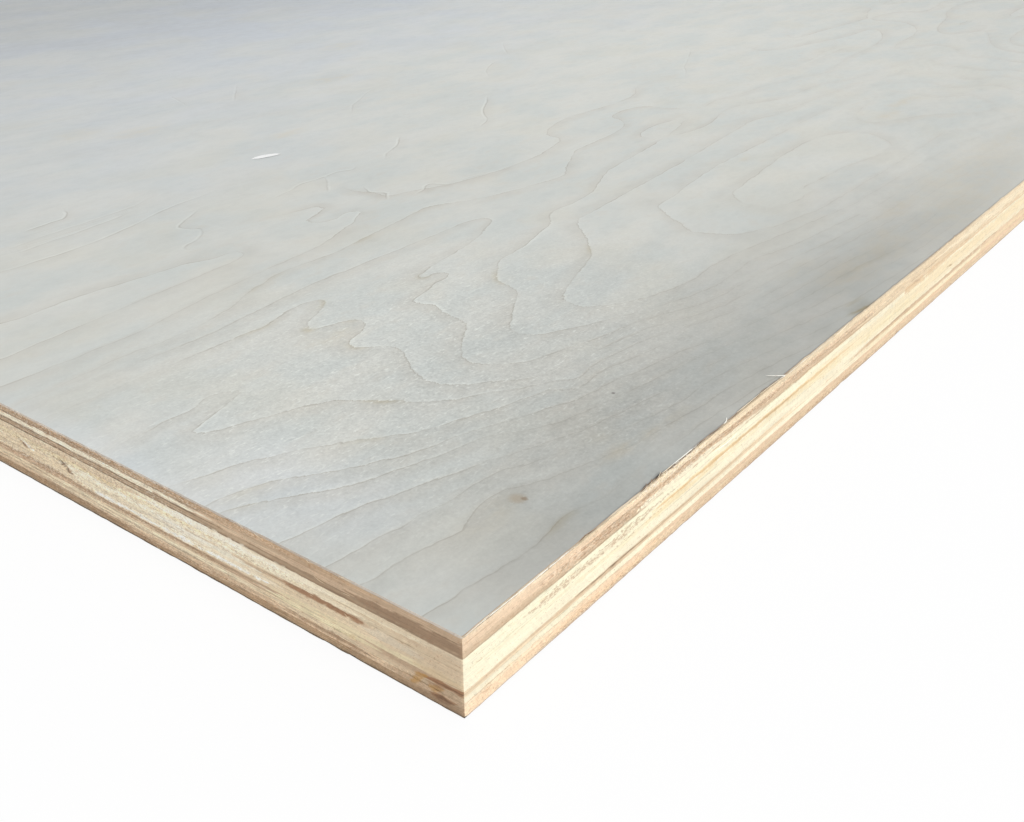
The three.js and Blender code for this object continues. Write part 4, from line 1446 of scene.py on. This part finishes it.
def stains_and_painted_light_on(x, y):
    """How amber and how grey the face is at each place, its painted sheen, and how faint its rings are. The
    grey also holds painted shade, and painted light where it is below 0.
    """
    uneven = 1 + SPOT_UNEVEN * ripple(x, y, 90, 30, 55)
    amber, grey, blue, faint = (spots_at(spots, x, y, uneven) for spots in STAINS_AND_PAINTED_LIGHT.values())
    # Painted shadow of the torn arris: a thin darker line just inside the front edge, from the first notch
    # on.
    arris_shadow = fall(y, *ARRIS_SHADOW_IN) * (1 - fall(x, *ARRIS_SHADOW_ALONG))
    far = far_off(x, y)
    bands = GREY_BANDS * ripple(x, y, 1200, 90, 57) * far
    faint = np.maximum(faint.max(axis=0), 1 - fall(y, *LINES_END)) * (1 - far) + FAR_FAINT * far
    # The grey stains with their painted shade and light, the painted shadow of the arris and the broad bands
    # all add up here.
    grey_and_painted_light = grey.sum(axis=0) + arris_shadow + bands
    return np.stack([amber.max(axis=0), grey_and_painted_light, blue.sum(axis=0), faint], -1)


def touch_on(x, y):
    """How crested the ring lines are, and how rubbed, tanned and glowing the face is, at each place."""
    crested, rubbed, tanned, glowing = (spots_at(spots, x, y, 1).max(axis=0) for spots in TOUCH.values())
    far = far_off(x, y)
    warm_bands = WARM_BANDS * np.maximum(ripple(x, y, 1600, 110, 58), 0) * far
    return np.stack([crested + FAR_CRESTED * far, rubbed, tanned + warm_bands, glowing], -1)


print("the stains at the near corner:", np.round(stains_and_painted_light_on(np.zeros(1), np.zeros(1)), 2).tolist())

# %% [markdown]
# ## Lone marks
# Between the rings there are short broken lines that close on nothing: a ring that is only just cut,
# or a scratch of the belt. A surface of ring numbers can't hold them, because its lines never end.
# So each is a line of points of its own, and every vertex is told how far the nearest one is. The
# distance has a sign, because a mark, like a ring, has a pale side and a brownish one.

# %% Place the lone marks
MARKS = [  # how strongly each shows, and its points in millimetres; its pale side is on its left
    (1.0, [(93, 181), (90, 182.2), (89, 184.2), (91.5, 185.8), (96, 187), (99.5, 188.8), (103, 191.8),
           (104.8, 195.3), (102.6, 197), (102, 199), (101, 201), (102.5, 203), (105, 204.5), (109, 206.5),
           (114.5, 209.5), (119, 212)]),
    (1.0, [(69, 237.4), (71.5, 238.2), (78, 238.6), (80, 239.2), (84, 239), (86.5, 241), (88.5, 243.5),
           (89.5, 247)]),
    (0.9, [(40, 212.4), (45, 211.8), (50, 211), (57, 211.2), (63, 210.6), (70, 211), (79, 211.8), (85, 213),
           (93, 214.6), (99, 216.3), (104, 218), (110, 219.8), (117, 220.8), (122, 221), (134, 222.4)]),
    (0.6, [(48, 222.6), (60, 222), (70, 223.2), (78, 223.3), (86, 224.5), (93, 225), (104, 227.4)]),
    (0.45, [(54, 228), (60, 227.5), (68, 229), (84, 229.6), (100, 230.5), (106, 231), (113, 234),
            (119, 236)]),
    (0.9, [(138, 199), (141, 199.8), (145, 200.8), (150, 201.2), (154, 203.3), (158, 203.8), (163, 203.3),
           (168, 203.5), (175, 204), (180, 201.7), (182.5, 202.3), (185, 204.4)]),
    (0.9, [(168, 203), (165, 200), (163, 197.5), (160, 194.5), (156, 190)]),
    (1.0, [(167.5, 184), (165, 180), (163.8, 177.5), (165.5, 174.5), (167, 172.5), (164, 170), (161, 167)]),
    (0.8, [(172, 163), (178, 164.5), (181, 166.8), (184, 167), (185.5, 164.5), (187, 161.5), (190, 160.8)]),
    (0.5, [(194, 161), (201, 159.8), (208, 157.5), (214, 156.5), (222, 157), (236, 157.5)]),
    (1.0, [(197, 201), (200, 203.5), (203, 206), (208, 208), (213, 210), (217, 212.5), (220, 215),
           (225, 219)]),
    (1.0, [(255, 202), (263, 205), (268, 208), (273, 214), (280, 220), (290, 226), (301, 234)]),
    (0.6, [(226, 321), (235, 331), (240, 336), (248, 345)]),
    (0.5, [(206, 327), (211, 340), (215, 353)]),
    (0.5, [(241, 262), (252, 272), (262, 277), (272, 283), (283, 287)]),
    (0.6, [(331, 257), (342, 268), (352, 274), (365, 279)]),
    (0.6, [(382, 285), (392, 295), (400, 302), (407, 307)]),
    (0.5, [(386, 180), (398, 186), (406, 192), (428, 202), (436, 206), (450, 213)]),
]
print(len(MARKS), "lone marks")

# %% Find the nearest mark
NO_MARK_NEAR = 99.0
MARK_FADE = 3, 6  # it fades out between these distances in millimetres
END_FADE = 6  # it fades over a sixth of its length at both ends


def marks_on(x, y):
    """How far the nearest mark is, less than 0 on its right, and how strongly it shows at each place."""
    nearest, shown = np.full(len(x), NO_MARK_NEAR), np.zeros(len(x))
    for strength, points in MARKS:
        points = np.array(points, float)
        lengths = np.hypot(*np.diff(points, axis=0).T)
        run = np.concatenate([[0], np.cumsum(lengths)])
        for start, end, before, length in zip(points[:-1], points[1:], run, lengths):
            way_x, way_y = (end - start) / length
            gone = np.clip((x - start[0]) * way_x + (y - start[1]) * way_y, 0, length)
            off_x, off_y = x - start[0] - gone * way_x, y - start[1] - gone * way_y
            away, side = np.hypot(off_x, off_y), np.where(way_x * off_y > way_y * off_x, 1, -1)
            share = (before + gone) / run[-1]
            closer = away < np.abs(nearest)
            nearest = np.where(closer, away * side, nearest)
            ends = np.clip(END_FADE * np.minimum(share, 1 - share), 0, 1)
            shown = np.where(closer, strength * ends, shown)
    return np.stack([nearest, shown * fall(np.abs(nearest), *MARK_FADE), far_off(x, y)], -1)


print("the nearest mark is", round(float(marks_on(np.full(1, 95.0), np.full(1, 184.0))[0, 0]), 1),
      "mm from a place 95 mm along and 184 mm across")

# %% [markdown]
# ## The torn long edge
# The thin face veneer is the first thing that the saw tears. Along the front edge it is missing in
# shallow notches, where the crossband shows, and between them it has lifted a little. Both fade out
# a few millimetres in. They move the mesh, because a notch changes the outline of the edge: each is
# given by where it starts, where it ends and how deep or how high it is.

# %% Place the notches and the lifts
NOTCHES = [(33.5, 39.5, 0.2), (57, 62, 0.25), (62, 66, 0.15), (76, 84.5, 0.15), (96, 105, 0.3),
           (104, 116, 0.35), (127, 133, 0.2), (160, 165, 0.2), (186, 190, 0.2)]
LIFTS = [(2, 34, 0.14), (38, 57, 0.08), (55, 66, 0.1), (75, 88, 0.14), (86, 100, 0.12), (114, 128, 0.1),
         (146, 160, 0.12)]
for start in random.uniform(200, LENGTH, 60):
    NOTCHES.append((start, start + random.uniform(2, 7), random.uniform(0.1, 0.3)))
print(len(NOTCHES), "notches and", len(LIFTS), "lifts")

# %% Tear the face veneer
TORN_BAND, DEEPEST, NOTCH_UNEVEN = 3.0, 1.4, 0.25


def hump(run, start, end):
    """A rounded bump that is 1 halfway and 0 at both ends."""
    share = np.clip((run - start) / (end - start), 0, 1)
    return np.sqrt(4 * share * (1 - share))


def torn(places):
    """The face veneer with its long front edge torn back in notches and lifted between them."""
    run = places[:, 0]
    near = np.clip(1 - places[:, 1] / TORN_BAND, 0, 1)
    notch = np.max([deep * hump(run, start, end) for start, end, deep in NOTCHES], axis=0)
    notch *= 1 + NOTCH_UNEVEN * ripple(run, np.zeros(len(run)), 1.5, 1, 61)
    lift = np.max([high * hump(run, start, end) for start, end, high in LIFTS], axis=0)
    moved = places.copy()
    moved[:, 1] += np.clip(notch, 0, DEEPEST) * near
    moved[:, 2] += lift * near
    return moved


arris = np.stack([np.linspace(0, 120, 7), np.zeros(7), np.full(7, THICKNESS)], -1)
print("the arris is torn back by", np.round((torn(arris) - arris)[:, 1], 2), "mm")

# %% [markdown]
# ## The face veneer
# The face is what the sheet is bought for. Its broad side is a grid, and it carries all the values:
# the ring numbers, the stains with their painted light, the sanding marks and the lone marks. A
# picture stretched over a plain slab would be quicker, but blurred by the near corner. The veneer's
# thin wall is sawn wood like the other plies', and the finish changes over from sanded to sawn at
# the arris.

# %% Make the face veneer
face_finish = sanded_finish("face_sanded", FACE_HUES, True, 0.0)
places, faces, inward = ply_mesh("face_veneer", FACE_STATIONS, FACE_ROWS, "top")
values, (x, y) = edge_values("face_veneer", places), places[:, :2].T
values |= {"growth": growth(face_rings, x, y), "stains": stains_and_painted_light_on(x, y),
           "touch": touch_on(x, y), "marks": marks_on(x, y)}
places = torn(places + inward * wall_depth("face_veneer", places)[:, None])
face_piece = add_piece("face_veneer_sanded", places, faces, face_finish, values)
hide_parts("face_veneer")
print("face veneer:", sum(len(face) - 2 for face in faces), "triangles")

# %% [markdown]
# ## The back veneer
# The back is a plainer, browner veneer. A flat brown would do for a side that mostly lies down, but a
# sheet is turned over, so the back gets rings too. They come from the swells alone. It has no stains,
# and its other values are the same all over.

# %% Make the back veneer
BACK_SEED = 40
back_finish = sanded_finish("back_sanded", BACK_HUES, True, 31.0)
places, faces, inward = ply_mesh("back_veneer", BACK_STATIONS, FACE_ROWS, "bottom")
values = edge_values("back_veneer", places)
values["growth"] = growth(lambda x, y: swells(x, y, BACK_SEED), places[:, 0], places[:, 1])
values["stains"] = np.zeros((len(places), 4))
values["touch"] = np.tile((0.3, 0.2, 0, 0), (len(places), 1))
values["marks"] = np.tile((NO_MARK_NEAR, 0, 0.6), (len(places), 1))
places += inward * wall_depth("back_veneer", places)[:, None]
back_piece = add_piece("back_veneer_sanded", places, faces, back_finish, values)
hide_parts("back_veneer")
print("back veneer:", sum(len(face) - 2 for face in faces), "triangles")

# %% [markdown]
# ## Torn fibres
# A saw that comes out through a veneer leaves slivers and curled fibres standing on the arris. Each is
# a thin sliver swept along a curve through its two ends, with a diamond for a section, and pointed at
# both ends. Hair curves would be lighter to make, but they leave no mesh behind, and these slivers
# are few. Those that stand out are listed one by one, and the small ones are strewn at random.

# %% Place the slivers that stand out
SLIVERS = [  # start, middle and end in millimetres from the corner, width, thickness and tone
    ((3, 0.02, 17.7), (17, -0.1, 17.8), (33.5, 0, 17.7), 0.2, 0.14, "bright"),
    ((120.0, -0.25, 17.95), (117.9, 0.8, 18.2), (116.0, 3.3, 18.3), 0.4, 0.2, "bright"),
    ((119.6, -0.15, 17.95), (118.2, -0.2, 18.1), (116.8, 0, 18.15), 0.22, 0.16, "bright"),
    ((106, 0.3, 18.01), (112, 0.1, 18.06), (118.6, -0.1, 18.02), 0.16, 0.1, "ivory"),
    ((147.6, -0.1, 17.9), (151.3, -0.35, 18.0), (157.8, -0.05, 18.25), 0.32, 0.2, "ivory"),
    ((89.5, 0.1, 18.0), (91, 0.2, 18.2), (92.3, 0.9, 18.25), 0.25, 0.12, "bright"),
    # These two dark slivers are torn fibres in a notch, and their darkness is partly painted shade.
    ((57, 0.1, 17.9), (58, 0.4, 18.15), (58.4, 0.9, 18.2), 0.1, 0.08, "dark brown"),
    ((59, 0.1, 17.9), (60, 0.4, 18.15), (60.6, 0.8, 18.2), 0.1, 0.08, "dark brown"),
    ((62, 0.1, 17.9), (63, 0.3, 18.15), (64.2, 0.7, 18.2), 0.1, 0.08, "cream"),
    ((67, 0.32, 18.02), (73, 0.22, 18.05), (80.5, 0.34, 18.02), 0.28, 0.08, "bright"),
    ((63.5, 0.3, 18.01), (66, 0.2, 18.04), (68.5, 0.3, 18.01), 0.2, 0.08, "ivory"),
    ((83, 0.3, 18.01), (87, 0.22, 18.04), (91, 0.34, 18.01), 0.2, 0.08, "ivory"),
    ((95, 0.34, 18.01), (100, 0.24, 18.04), (107, 0.34, 18.01), 0.2, 0.08, "ivory"),
    ((167.3, 242.6, 18.05), (173.4, 241.0, 18.16), (178.8, 239.2, 18.08), 3.6, 0.14, "snow"),
    ((85, -0.1, 13.0), (91, -0.3, 12.7), (97, -0.1, 12.9), 0.25, 0.16, "bright"),
]
print(len(SLIVERS), "slivers placed by hand")

# %% Strew the small fibres
STREWN = {"front": 300, "left": 200, "back": 160, "right": 100}
CROWDED = 1.8  # above 1, more of them are near the corner
BARE_START = {"front": 4, "left": 26, "back": 4, "right": 4}
BARE_END = 8
for edge, count in STREWN.items():
    running, fixed, value = EDGES[edge]
    total, first = (LENGTH, WIDTH)[running], BARE_START[edge]
    for run in (random.uniform(0, 1, count) ** CROWDED) * (total - first - BARE_END) + first:
        height, length = random.choice([17.75, random.uniform(0.5, 17.5)]), random.uniform(0.8, 3.2)
        out = random.uniform(0.05, 0.25) * (-1 if value == 0 else 1)
        ends = np.zeros((3, 3))
        ends[:, running] = run + length * np.array([-0.5, random.uniform(-0.2, 0.2), 0.5])
        ends[:, fixed] = value + out * np.array([0, 1, random.uniform(0.2, 1.2)])
        ends[:, 2] = np.clip(height + random.normal(0, 0.25, 3), 0.05, 18.2)
        kind = random.choice(["cream", "sand", "biscuit"])
        SLIVERS.append((*ends, random.uniform(0.05, 0.12), random.uniform(0.04, 0.08), kind))
print(len(SLIVERS), "slivers in all")


# %% Make the slivers
def sliver(start, middle, end, width, thickness, steps=7):
    """A pointed sliver along a curve from start to end that passes near middle."""
    share = np.linspace(0, 1, steps)[:, None]
    start, middle, end = (np.array(point, float) for point in (start, middle, end))
    pull = 2 * middle - (start + end) / 2
    line = (1 - share) ** 2 * start + 2 * share * (1 - share) * pull + share ** 2 * end
    run = (end - start) / np.linalg.norm(end - start)
    flat = np.cross(run, (0, 0, 1.0))
    flat /= max(np.linalg.norm(flat), 1e-6)
    upright = np.cross(flat, run)
    size = np.sqrt(np.clip(4 * share * (1 - share), 0.01, 1)) / 2
    sides = [flat * width, upright * thickness, -flat * width, -upright * thickness]
    vertices = np.stack([line + size * side for side in sides], 1).reshape(-1, 3)
    faces = [(0, 1, 2, 3), tuple(4 * (steps - 1) + k for k in (3, 2, 1, 0))]
    for step in range(steps - 1):
        for k in range(4):
            a, b = 4 * step + k, 4 * step + (k + 1) % 4
            faces.append((b, a, a + 4, b + 4))
    return vertices, faces


all_places, all_faces, all_tones, made = [], [], [], 0
for *numbers, kind in SLIVERS:
    vertices, faces = sliver(*numbers)
    all_places.append(vertices)
    all_faces += [tuple(index + made for index in face) for face in faces]
    all_tones.append(np.tile(np.array(TONES[kind]), (len(vertices), 1)))
    made += len(vertices)
values = {"tone": np.vstack(all_tones), "wear": np.tile((0, 0, 0, 0.5), (made, 1))}
fibres = add_piece("torn_fibres", np.vstack(all_places), all_faces,
                   sawn_finish("torn_fibre", True, 70.0), values)
print(len(SLIVERS), "slivers,", sum(len(face) - 2 for face in all_faces), "triangles")
